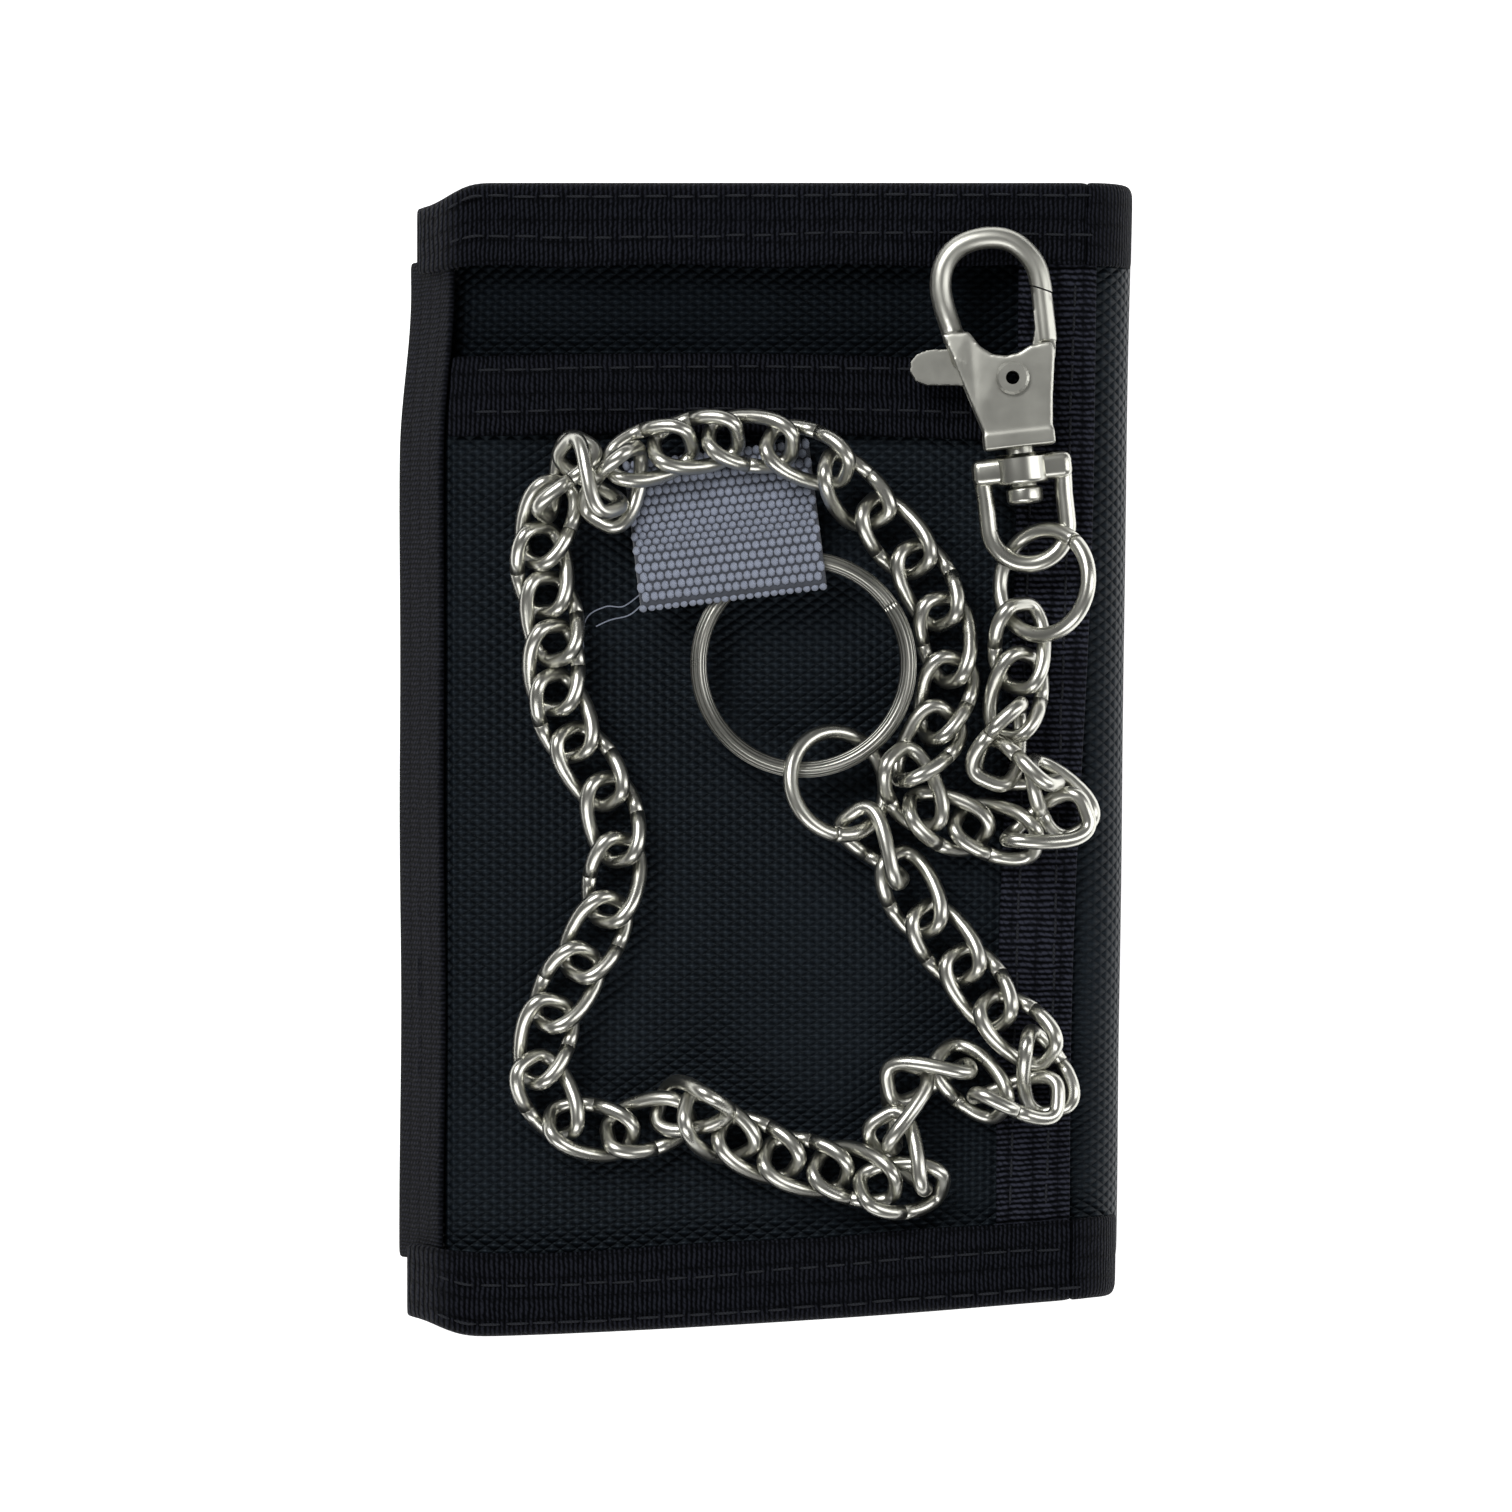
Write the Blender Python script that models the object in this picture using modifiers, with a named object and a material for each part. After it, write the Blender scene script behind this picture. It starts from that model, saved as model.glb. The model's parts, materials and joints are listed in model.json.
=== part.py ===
"""Chain wallet: a bound two-panel wallet of coated cloth with a key loop, a split ring, and a
wallet chain that ends in a swivel lobster clasp.

Metres, +Z up. The wallet lies closed on its back, its spine towards +X, its long side along Y,
with the chain lying on its front flap. The origin is below the middle of the closed wallet.
"""

import math

import bmesh
import bpy
import numpy as np
from mathutils import Matrix, Vector

MM = 0.001

# Clearances
GAP = 0.3 * MM              # between pieces that touch in the real wallet
EDGE = 0.15 * MM            # rounding of a cut cloth edge

# Wallet, closed
WIDTH = 82.0 * MM           # left edge to spine
HEIGHT = 127.0 * MM         # along the spine
CLOTH = 1.0 * MM            # coated cloth with its backing
LINING = 0.6 * MM
TAPE = 0.7 * MM             # binding tape, one layer
TAPE_FACE = 9.35 * MM       # what a folded binding covers on each side
CARD_LAYER = 0.4 * MM
BILL_SPACE = 1.2 * MM       # each side of the divider in the bill compartment
FLAP_SPACE = 1.2 * MM       # between the flap's lining and its outer cloth
LIP_SLOPE = math.radians(57.0)
LIP_LENGTH = 8.9 * MM       # the part of the flap that droops over the left side
SPINE_REACH = 5.4 * MM      # how far the rounded spine stands out from the panels

# Front pocket, strip and key loop
POCKET_TOP = 44.4 * MM      # height of the pocket's mouth above the wallet's middle
POCKET_RIGHT = 29.0 * MM
POCKET_TAPE = 9.0 * MM
STRIP_WIDTH = 8.8 * MM
STRIP_TOP_X = 32.9 * MM     # middle of the upright webbing strip at the top and at the bottom
STRIP_FOOT_X = 30.8 * MM
STRIP_THICK = 0.8 * MM
TAB_WIDTH = 20.6 * MM
TAB_LENGTH = 16.2 * MM
TAB_THICK = 1.1 * MM
TAB_TILT = math.radians(7.0)
TAB_OVER_RING = (-9.6 * MM, 11.9 * MM)   # the loop's top, from the split ring's highest point
TAB_FOLD = 3.0 * MM         # the fold runs from here to the right side, inside the split ring

# Inner fittings
CARD_WIDTH = 56.0 * MM
CARD_STEPS = (42.0 * MM, 27.0 * MM, 12.0 * MM)   # mouths of the card pockets, deepest first
CARD_FOOT = -52.0 * MM
WINDOW = (52.0 * MM, 78.0 * MM)
PATCH = (7.0 * MM, 52.0 * MM)
PATCH_THICK = 0.8 * MM

# Rings
SPLIT_RADIUS = 11.5 * MM    # to the middle of the band
SPLIT_BAND = 1.8 * MM       # width of the flattened wire
SPLIT_STRIP = 1.0 * MM      # its thickness; the two turns lie one on the other
SPLIT_FOOT = (4.2 * MM, -1.1 * MM)   # its lowest point, where the first jump ring hangs
JUMP_RADIUS = 5.8 * MM
JUMP_WIRE = 0.85 * MM
RING_ONE = (9.3, -2.6, 3.5, 113, 28)     # middle x, y, height above the face, heading, lean
RING_TWO = (30.6, 18.2, 4.0, 97, -31)

# Chain of twisted open links
LINK_LENGTH = 10.8 * MM     # outside
LINK_WIDTH = 7.0 * MM       # outside
LINK_WIRE = 0.8 * MM        # radius
LINK_TWIST = math.radians(45.0)
LINK_POINTS = 12
LINK_GAP = 0.28 * MM        # least air left between two wires
BEAD_BITE = 0.45 * MM       # how deep the joining bead sits in each link of a pair

# Clasp, in its own plane: (across, along), measured from its rivet, hook end up
CLASP_PLACE = (27.0 * MM, 41.7 * MM)
CLASP_TILT = math.radians(6.3)
CLASP_THICK = 4.6 * MM
LATCH_THICK = 1.5 * MM
LATCH_PLAY = 0.3 * MM       # air on each side of the latch
LATCH_ROD = 1.1 * MM        # radius of the latch's arm
HOOK_WIRE = 1.15 * MM
RIVET_RADIUS = 1.15 * MM
RIVET_HEAD = 1.85 * MM
RIVET_HOLE = 0.75 * MM
BAIL_WIRE = 0.9 * MM
BAIL_WIDTH = 10.4 * MM
BAIL_FOOT = -21.3 * MM      # lowest point of the bail's wire, along the clasp
COLLAR_TOP = -8.3 * MM
COLLAR_FOOT = -11.6 * MM
COLLAR_RADIUS = 2.9 * MM
POST_RADIUS = 1.5 * MM
POST_HEAD = 2.0 * MM
SWIVEL_PLAY = 0.3 * MM

# Heights of the layers, worked out upwards from the surface that the wallet lies on
BACK_SHELL_Z = TAPE + GAP
DIVIDER_Z = BACK_SHELL_Z + CLOTH + BILL_SPACE
BACK_LINING_Z = DIVIDER_Z + LINING + BILL_SPACE
BACK_TOP_Z = BACK_LINING_Z + LINING + GAP + TAPE
CARD_Z = BACK_LINING_Z + LINING + GAP
PATCH_Z = BACK_TOP_Z + GAP
FLAP_FOOT_Z = PATCH_Z + 2 * PATCH_THICK + 2 * GAP - TAPE
FLAP_LINING_Z = FLAP_FOOT_Z + TAPE + GAP
FLAP_SHELL_Z = FLAP_LINING_Z + LINING + FLAP_SPACE
POCKET_Z = FLAP_SHELL_Z + CLOTH + GAP
STRIP_Z = POCKET_Z + CLOTH + GAP
FLAP_TAPE_Z = STRIP_Z + STRIP_THICK + GAP
FLAP_TOP_Z = FLAP_TAPE_Z + TAPE
FACE_Z = POCKET_Z + CLOTH

LEFT_X = -WIDTH / 2
TOP_Y = HEIGHT / 2
SPINE_X = WIDTH / 2 - SPINE_REACH         # where the panels end and the spine begins
HINGE_Z = (BACK_SHELL_Z + FLAP_SHELL_Z + CLOTH) / 2
LIP_X = LEFT_X + LIP_LENGTH * math.cos(LIP_SLOPE) + CLOTH / 2 + GAP + TAPE
BACK_LEFT_X = LIP_X - 1.0 * MM
CLASP_Z = STRIP_Z + STRIP_THICK + GAP + COLLAR_RADIUS
SPLIT_CENTRE = (SPLIT_FOOT[0], SPLIT_FOOT[1] + SPLIT_RADIUS)
TAB_TOP = (SPLIT_CENTRE[0] + TAB_OVER_RING[0], SPLIT_CENTRE[1] + SPLIT_RADIUS + TAB_OVER_RING[1])

# Where the chain's links meet: x, y, height above the resting height, and the roll of the link
# that ends there in degrees. The first point is on the first ring and the last on the second.
ROUTE = [
    (11.0, -8.4, 1.4, 0), (13.9, -12.6, 0.8, 60), (18.2, -17.6, 0.0, -20), (21.8, -22.6, 0.0, 0),
    (25.4, -27.5, 0.6, 0), (30.0, -31.6, 2.2, -15), (30.4, -36.4, 1.6, -45), (24.6, -37.2, 0.6, 60),
    (20.6, -33.4, 1.8, 0), (15.4, -36.2, 2.6, -60), (14.2, -40.8, 1.6, 45),
    (16.6, -45.4, 0.8, 45), (12.4, -47.2, 0.3, 0), (7.2, -44.2, 0.5, -30), (1.4, -43.6, 0.0, -15),
    (-3.4, -42.2, 0.4, 0), (-6.4, -38.0, 1.6, 0), (-10.6, -38.9, 0.2, -15), (-16.0, -40.9, 0.0, 0),
    (-21.6, -39.4, 0.0, 0), (-24.6, -34.4, 0.0, 0), (-23.5, -28.2, 0.0, 0), (-20.1, -22.3, 0.0, 0),
    (-17.2, -16.6, 0.0, 0), (-16.0, -9.8, 0.0, 0), (-17.3, -3.3, 0.0, 0), (-21.1, 2.3, 0.0, 0),
    (-23.5, 8.1, 0.2, 30), (-22.7, 13.0, 0.8, 45), (-24.0, 17.8, 0.2, 30), (-24.6, 23.2, 0.0, 0),
    (-23.4, 28.2, 1.0, 0), (-20.4, 32.6, 1.0, 90), (-17.8, 28.6, 3.0, 75), (-15.0, 32.8, 2.2, 30),
    (-10.3, 33.9, 2.0, 0), (-4.9, 35.1, 1.6, 0), (1.5, 34.8, 1.6, 0), (7.4, 31.8, 1.2, 0),
    (12.2, 27.3, 0.0, 0), (16.3, 21.9, 0.0, 0), (19.2, 15.5, 0.0, 0), (19.6, 9.4, 0.4, 30),
    (17.6, 4.6, 0.8, 45), (15.5, -0.4, 2.0, 60), (16.8, -6.2, 2.6, 15), (22.6, -6.8, 1.6, 0),
    (28.2, -8.4, 0.6, 0), (33.0, -6.0, 1.4, -45), (29.8, -2.2, 3.0, 45), (25.8, 0.6, 2.6, -45),
    (27.0, 4.6, 1.4, 45), (27.7, 9.4, 0.6, 15), (28.2, 13.4, 0.6, 45),
]
CHAIN_SETTLING = 420        # small moves that lay the links down clear of each other


def link_outline():
    """The middle line of one link: an oval along X whose ends are twisted each way."""
    half_length = LINK_LENGTH / 2 - LINK_WIRE
    half_width = LINK_WIDTH / 2 - LINK_WIRE
    points = []
    for step in range(LINK_POINTS):
        turn = 2 * math.pi * step / LINK_POINTS
        along = half_length * math.copysign(abs(math.cos(turn)) ** 0.8, math.cos(turn))
        across = half_width * math.copysign(abs(math.sin(turn)) ** 0.8, math.sin(turn))
        twist = LINK_TWIST * along / half_length
        points.append((along, across * math.cos(twist), across * math.sin(twist)))
    return np.array(points)


def ring_outline(radius, count, start=0.0, end=2 * math.pi):
    turns = start + (end - start) * np.arange(count) / count
    return np.stack([radius * np.cos(turns), radius * np.sin(turns), 0 * turns], axis=1)


def with_steps_between(loop, steps):
    """A closed loop's points with evenly spaced points added on each of its sides."""
    onwards = np.roll(loop, -1, axis=0) - loop
    added = [loop[:, None] + onwards[:, None] * k / steps for k in range(steps)]
    return np.concatenate(added, 1).reshape(-1, 3)


def axes_along(direction, roll):
    """A turned frame whose X runs along direction, level across unless rolled about it."""
    forward = direction / np.linalg.norm(direction)
    across = np.cross((0.0, 0.0, 1.0), forward)
    across /= np.linalg.norm(across)
    upward = np.cross(forward, across)
    c, s = math.cos(roll), math.sin(roll)
    return np.stack([forward, c * across + s * upward, c * upward - s * across], axis=1)


def face_height(points):
    """The height of what lies under each point: the flap's face and what is sewn on it."""
    x, y = points[..., 0], points[..., 1]
    height = np.full(x.shape, FLAP_SHELL_Z + CLOTH)

    def raise_to(level, low_x, high_x, low_y, high_y):
        inside = (x > low_x) & (x < high_x) & (y > low_y) & (y < high_y)
        np.copyto(height, np.maximum(height, level), where=inside)

    reach = 1.2 * MM
    raise_to(FACE_Z, LEFT_X, POCKET_RIGHT + reach, -TOP_Y, POCKET_TOP + reach)
    raise_to(STRIP_Z + STRIP_THICK, LEFT_X, POCKET_RIGHT, POCKET_TOP - POCKET_TAPE - reach,
             POCKET_TOP + 2 * reach)
    raise_to(STRIP_Z + STRIP_THICK, STRIP_FOOT_X - STRIP_WIDTH / 2 - reach, WIDTH, -TOP_Y, TOP_Y)
    raise_to(STRIP_Z + STRIP_THICK + TAB_THICK + 2 * GAP, TAB_TOP[0] - TAB_WIDTH / 2 - reach,
             TAB_TOP[0] + TAB_WIDTH / 2 + 3 * reach, TAB_TOP[1] - 9 * MM, TAB_TOP[1] + 2 * reach)
    return height


def rotated(turns, axes):
    """Each frame in axes turned by its small rotation vector in turns."""
    angle = np.linalg.norm(turns, axis=1)[:, None, None] + 1e-12
    unit = turns[:, :, None] / angle
    along = (unit * axes).sum(1, keepdims=True) * unit
    crossed = np.cross(unit, axes, axis=1)
    return axes * np.cos(angle) + crossed * np.sin(angle) + along * (1 - np.cos(angle))


def lay_chain():
    """Where each link and each jump ring lies.

    The links start on ROUTE. Small moves then part any two wires that are closer than LINK_GAP,
    lift what is below the flap's face, and let the rest sink towards it, so the chain stays
    clear of itself when a size changes.
    Returns the middles and the axes of the links, then of the two jump rings.
    """
    link = link_outline()
    meets = np.array([(x * MM, y * MM, FACE_Z + LINK_WIRE + 1.3 * MM + z * MM) for x, y, z, _ in ROUTE])
    rolls = [math.radians(roll) for *_, roll in ROUTE[1:]]
    middles = list((meets[1:] + meets[:-1]) / 2)
    axes = [axes_along(b - a, roll) for a, b, roll in zip(meets, meets[1:], rolls)]
    shapes = [with_steps_between(link, 3)] * len(middles)
    radii = [LINK_WIRE] * len(middles)

    jump = with_steps_between(ring_outline(JUMP_RADIUS, 18), 2)
    for x, y, height, heading, lean in (RING_ONE, RING_TWO):
        middles.append(np.array([x * MM, y * MM, FACE_Z + height * MM]))
        heading = math.radians(heading)
        axes.append(axes_along(np.array([math.cos(heading), math.sin(heading), 0.0]), math.radians(lean)))
        shapes.append(jump)
        radii.append(JUMP_WIRE)
    free = [1.0] * len(middles)

    def add_fixed(points, radius):
        middles.append(np.zeros(3))
        axes.append(np.eye(3))
        shapes.append(points)
        radii.append(radius)
        free.append(0.0)

    for side in (0, math.pi):
        half = ring_outline(SPLIT_RADIUS, 36, side, side + math.pi)
        add_fixed(half + np.array([*SPLIT_CENTRE, split_height()]), split_reach())
    add_fixed(np.array([clasp_point(x, y) for x, y in bail_line(36)]), BAIL_WIRE)

    middles, axes, free, radii = np.array(middles), np.array(axes), np.array(free), np.array(radii)
    shapes = np.array(shapes)
    home = middles.copy()
    centres = np.array([(m + a @ s.T.mean(1)) for m, a, s in zip(middles, axes, shapes)])
    reach = np.array([np.linalg.norm(s - s.mean(0), axis=1).max() for s in shapes])
    pairs = [(a, b) for a in range(len(middles)) for b in range(a + 1, len(middles))
             if free[a] + free[b] and np.linalg.norm(centres[a] - centres[b]) < reach[a] + reach[b] + 3 * MM]
    one, two = np.array(pairs).T
    wanted = radii[one] + radii[two] + LINK_GAP
    spin = 1 / (0.33 * LINK_LENGTH) ** 2
    which = np.arange(len(pairs))

    for move in range(CHAIN_SETTLING):
        points = middles[:, None] + np.einsum("nij,nsj->nsi", axes, shapes)
        shift, turn = np.zeros_like(middles), np.zeros_like(middles)
        apart = points[one][:, :, None] - points[two][:, None]
        away = np.sqrt((apart ** 2).sum(-1)).reshape(len(pairs), -1)
        nearest = away.argmin(1)
        at_one, at_two = np.divmod(nearest, shapes.shape[1])
        distance = away[which, nearest]
        push = apart[which, at_one, at_two] / distance[:, None]
        lack = np.clip(wanted - distance, 0, None)
        arm_one, arm_two = points[one, at_one] - middles[one], points[two, at_two] - middles[two]
        lever_one, lever_two = np.cross(arm_one, push), np.cross(arm_two, push)
        ease_one = free[one] * (1 + spin * (lever_one ** 2).sum(1))
        ease_two = free[two] * (1 + spin * (lever_two ** 2).sum(1))
        share = (0.7 * lack / (ease_one + ease_two))[:, None]
        np.add.at(shift, one, share * push)
        np.add.at(shift, two, -share * push)
        np.add.at(turn, one, share * lever_one * spin)
        np.add.at(turn, two, -share * lever_two * spin)

        sunk = face_height(points) + radii[:, None] + GAP - points[..., 2]
        lowest = sunk.argmax(1)
        depth = np.clip(sunk[np.arange(len(sunk)), lowest], 0, None)[:, None]
        arm = points[np.arange(len(sunk)), lowest] - middles
        lever = np.stack([arm[:, 1], -arm[:, 0], 0 * arm[:, 0]], axis=1)
        lift = 0.7 * depth / (1 + spin * (lever ** 2).sum(1, keepdims=True))
        shift[:, 2:] += lift
        turn += lift * lever * spin
        if move < 0.7 * CHAIN_SETTLING:
            shift[:, 2] -= 0.012 * MM
            shift[:, :2] += 0.02 * (home - middles)[:, :2]
        middles = middles + shift * free[:, None]
        axes = rotated(turn * free[:, None], axes)
    count = len(ROUTE) - 1
    return middles[:count], axes[:count], middles[count:count + 2], axes[count:count + 2]


def split_reach():
    """Radius of a round wire that holds the split ring's two flat turns."""
    return math.hypot(SPLIT_BAND / 2, SPLIT_STRIP + GAP / 2) - 0.16 * MM


def split_height():
    """The split ring lies over the first jump ring and over the lower ply of its loop."""
    return FACE_Z + GAP + 2 * JUMP_WIRE + LINK_GAP + split_reach()


def clasp_point(across, along, rise=0.0):
    """A point of the clasp's plane in the wallet's frame."""
    c, s = math.cos(CLASP_TILT), math.sin(CLASP_TILT)
    return (CLASP_PLACE[0] + across * c - along * s, CLASP_PLACE[1] + across * s + along * c,
            CLASP_Z + rise)


def bail_line(count=19):
    """The middle line of the bail's U, from one end of its bar to the other."""
    half = BAIL_WIDTH / 2 - BAIL_WIRE
    bar = (COLLAR_TOP + COLLAR_FOOT) / 2
    foot = BAIL_FOOT + BAIL_WIRE
    bend = foot + half
    arc = [(-half * math.cos(t), bend - half * math.sin(t)) for t in np.linspace(0, math.pi, count - 6)]
    return [(-COLLAR_RADIUS * 0.8, bar), (-half, bar), (-half, (bar + bend) / 2), *arc,
            (half, (bar + bend) / 2), (half, bar), (COLLAR_RADIUS * 0.8, bar)]


# --- Blender objects

for old in list(bpy.data.objects):
    bpy.data.objects.remove(old, do_unlink=True)

wallet = bpy.data.collections.new("chain_wallet")
shaping = bpy.data.collections.new("shaping_guides")
for group in (wallet, shaping):
    bpy.context.scene.collection.children.link(group)


def material(name, colour, roughness, metallic=0.0):
    made = bpy.data.materials.new(name)
    made.use_nodes = True
    shader = made.node_tree.nodes["Principled BSDF"]
    shader.inputs["Base Color"].default_value = (*colour, 1.0)
    shader.inputs["Roughness"].default_value = roughness
    shader.inputs["Metallic"].default_value = metallic
    return made


CLOTH_LOOK = (0.012, 0.015, 0.019), 0.55
TAPE_LOOK = (0.008, 0.009, 0.010), 0.8
LINING_LOOK = (0.010, 0.011, 0.013), 0.7
STEEL_LOOK = (0.55, 0.53, 0.49), 0.22, 1.0


def add(name, mesh, look, group=wallet):
    made = bpy.data.objects.new(name, mesh)
    group.objects.link(made)
    if look:
        mesh.materials.clear()
        mesh.materials.append(material(name, *look))
    return made


def mesh_from(work):
    bmesh.ops.recalc_face_normals(work, faces=work.faces)
    mesh = bpy.data.meshes.new("shape")
    work.to_mesh(mesh)
    work.free()
    return mesh


def merged(mesh):
    """The mesh with its coinciding points made one."""
    work = bmesh.new()
    work.from_mesh(mesh)
    bmesh.ops.remove_doubles(work, verts=work.verts, dist=0.00001)
    return mesh_from(work)


def prism(outline, low, high, swept="z"):
    """A flat outline given depth: (x, y) swept along z, (x, z) along y or (y, z) along x."""
    orders = {"z": lambda a, b, c: (a, b, c), "y": lambda a, b, c: (a, c, b), "x": lambda a, b, c: (c, a, b)}
    order = orders[swept]
    work = bmesh.new()
    face = work.faces.new([work.verts.new(order(a, b, low)) for a, b in outline])
    grown = bmesh.ops.extrude_face_region(work, geom=[face])
    lifted = [item for item in grown["geom"] if isinstance(item, bmesh.types.BMVert)]
    bmesh.ops.translate(work, verts=lifted, vec=order(0.0, 0.0, high - low))
    return mesh_from(work)


def rectangle(left, right, foot, top):
    return [(left, foot), (right, foot), (right, top), (left, top)]


def ribbon(line, thickness):
    """The outline of a band that follows a line, with mitred corners."""
    line = [np.array(point) for point in line]
    sides = []
    for index, point in enumerate(line):
        before = line[max(index - 1, 0)]
        after = line[min(index + 1, len(line) - 1)]
        first = (point - before) if index else (after - point)
        second = (after - point) if index < len(line) - 1 else first
        first, second = first / np.linalg.norm(first), second / np.linalg.norm(second)
        normal = np.array([-(first + second)[1], (first + second)[0]])
        normal /= np.linalg.norm(normal)
        stretch = thickness / 2 / (normal @ np.array([-first[1], first[0]]))
        sides.append((point + normal * stretch, point - normal * stretch))
    return [tuple(a) for a, _ in sides] + [tuple(b) for _, b in reversed(sides)]


def wire_mesh(points, radius, sides=1, closed=False, resolution_u=1, guide=None):
    """A round wire (or one of the guide's section) along points, as a closed mesh."""
    curve = bpy.data.curves.new("wire", "CURVE")
    curve.dimensions = "3D"
    curve.use_fill_caps = True
    if guide:
        curve.bevel_mode, curve.bevel_object = "OBJECT", guide
        curve.twist_mode = "Z_UP"
    else:
        curve.bevel_depth, curve.bevel_resolution = radius, sides
    spline = curve.splines.new("POLY")
    spline.points.add(len(points) - 1)
    for slot, point in zip(spline.points, points):
        slot.co = (*point, 1.0)
    spline.use_cyclic_u = closed
    made = add("wire", curve, None, shaping)
    bpy.context.view_layer.update()
    mesh = bpy.data.meshes.new_from_object(made.evaluated_get(bpy.context.evaluated_depsgraph_get()))
    bpy.data.objects.remove(made, do_unlink=True)
    return merged(mesh)


def lathe(profile, steps):
    """A closed (radius, height) profile turned about Z."""
    work = bmesh.new()
    rows = []
    for step in range(steps):
        turn = 2 * math.pi * step / steps
        rows.append([work.verts.new((r * math.cos(turn), r * math.sin(turn), z)) for r, z in profile])
    for row, after in zip(rows, rows[1:] + rows[:1]):
        for k in range(len(profile)):
            n = (k + 1) % len(profile)
            work.faces.new([row[k], row[n], after[n], after[k]])
    return mesh_from(work)


def turned(mesh, matrix):
    mesh.transform(matrix)
    return mesh


def change(target, tool, operation):
    """Joins a hidden tool to the target, or cuts it out."""
    tool.hide_render = True
    tool.display_type = "WIRE"
    cut = target.modifiers.new(operation.lower(), "BOOLEAN")
    cut.operation, cut.solver, cut.object = operation, "EXACT", tool


def rounded(target, amount, angle=40.0):
    bevel = target.modifiers.new("edges", "BEVEL")
    bevel.width, bevel.segments = amount, 1
    bevel.limit_method, bevel.angle_limit = "ANGLE", math.radians(angle)


# Back panel, all inside its bindings
inner_y = TOP_Y - TAPE - GAP
back_left = BACK_LEFT_X + TAPE + GAP
panel = rectangle(back_left, SPINE_X, -inner_y, inner_y)
add("back_shell", prism(panel, BACK_SHELL_Z, BACK_SHELL_Z + CLOTH), CLOTH_LOOK)
add("bill_divider", prism(rectangle(back_left + 2 * MM, SPINE_X - 2 * MM, -inner_y, inner_y - 6 * MM),
                          DIVIDER_Z, DIVIDER_Z + LINING), LINING_LOOK)
add("back_lining", prism(panel, BACK_LINING_Z, BACK_LINING_Z + LINING), LINING_LOOK)
card_right = SPINE_X - 2.6 * MM
for number, mouth in enumerate(CARD_STEPS):
    foot_z = CARD_Z + number * (CARD_LAYER + GAP)
    pocket = rectangle(card_right - CARD_WIDTH, card_right, CARD_FOOT, mouth)
    card = add(f"card_pocket_{number + 1}", prism(pocket, foot_z, foot_z + CARD_LAYER), LINING_LOOK)
    rounded(card, 0.1 * MM)


def channel(mouth, wall, foot, top):
    """A folded binding in section: open at mouth, its wall out at the panel's edge."""
    inward = TAPE if mouth > wall else -TAPE
    return [(mouth, foot), (wall, foot), (wall, top), (mouth, top), (mouth, top - TAPE),
            (wall + inward, top - TAPE), (wall + inward, foot + TAPE), (mouth, foot + TAPE)]


for end, side in (("top", 1), ("bottom", -1)):
    section = channel(side * (TOP_Y - TAPE_FACE), side * TOP_Y, 0.0, BACK_TOP_Z)
    add(f"{end}_binding_back", prism(section, BACK_LEFT_X + TAPE_FACE + GAP, SPINE_X, "x"), TAPE_LOOK)
    section = channel(side * (TOP_Y - TAPE_FACE), side * TOP_Y, FLAP_FOOT_Z, FLAP_TOP_Z)
    add(f"{end}_binding_flap", prism(section, LIP_X + 1.0 * MM, SPINE_X, "x"), TAPE_LOOK)
add("left_binding_back",
    prism(channel(BACK_LEFT_X + TAPE_FACE, BACK_LEFT_X, 0.0, BACK_TOP_Z), -TOP_Y, TOP_Y, "y"), TAPE_LOOK)

patch = rectangle(BACK_LEFT_X + 1.4 * MM, BACK_LEFT_X + 1.4 * MM + PATCH[0], -PATCH[1] / 2, PATCH[1] / 2)
add("hook_patch", prism(patch, PATCH_Z, PATCH_Z + PATCH_THICK), TAPE_LOOK)
add("loop_patch", prism(patch, FLAP_LINING_Z - GAP - PATCH_THICK, FLAP_LINING_Z - GAP), TAPE_LOOK)

# Spine: the outer cloth carried round from one panel to the other
arc = [(SPINE_X + GAP + (SPINE_REACH - GAP - CLOTH / 2) * math.cos(t),
        HINGE_Z + (FLAP_SHELL_Z - BACK_SHELL_Z) / 2 * math.sin(t))
       for t in np.linspace(-math.pi / 2, math.pi / 2, 13)]
add("spine_cloth", prism(ribbon(arc, CLOTH), -TOP_Y, TOP_Y, "y"), CLOTH_LOOK)

# Front flap and the lip that droops over the left side
down = np.array([-math.cos(LIP_SLOPE), -math.sin(LIP_SLOPE)])
out = np.array([down[1], -down[0]])
corner = np.array([LIP_X, FLAP_SHELL_Z + CLOTH / 2])
lip_end = corner + down * (LIP_LENGTH - TAPE - GAP)
flap = ribbon([(SPINE_X, corner[1]), corner, lip_end], CLOTH)
add("flap_shell", prism(flap, -inner_y, inner_y, "y"), CLOTH_LOOK)
add("flap_lining", prism(rectangle(LIP_X + 1.6 * MM, SPINE_X, -inner_y, inner_y),
                         FLAP_LINING_Z, FLAP_LINING_Z + LINING), LINING_LOOK)
reach = CLOTH / 2 + GAP + TAPE / 2
fold = corner + down * (LIP_LENGTH - TAPE / 2)
add("left_binding_flap",
    prism(ribbon([corner + out * reach + down * 0.2 * MM, fold + out * reach, fold - out * reach,
                  corner - out * reach + down * 1.8 * MM], TAPE), -TOP_Y, TOP_Y, "y"), TAPE_LOOK)

window_foot = FLAP_LINING_Z - GAP - CARD_LAYER
window_x, window_y = 3 * MM, WINDOW[1] / 2
film = rectangle(window_x - WINDOW[0] / 2, window_x + WINDOW[0] / 2, -window_y, window_y)
window = add("id_window", prism(film, window_foot, window_foot + CARD_LAYER), ((0.5, 0.52, 0.54), 0.2))
inside = rectangle(window_x - WINDOW[0] / 2 + 6 * MM, window_x + WINDOW[0] / 2 - 6 * MM,
                   -window_y + 6 * MM, window_y - 6 * MM)
opening = prism(inside, window_foot - MM, window_foot + 0.2 * MM)
change(window, add("window_opening", opening, None, shaping), "DIFFERENCE")

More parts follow.
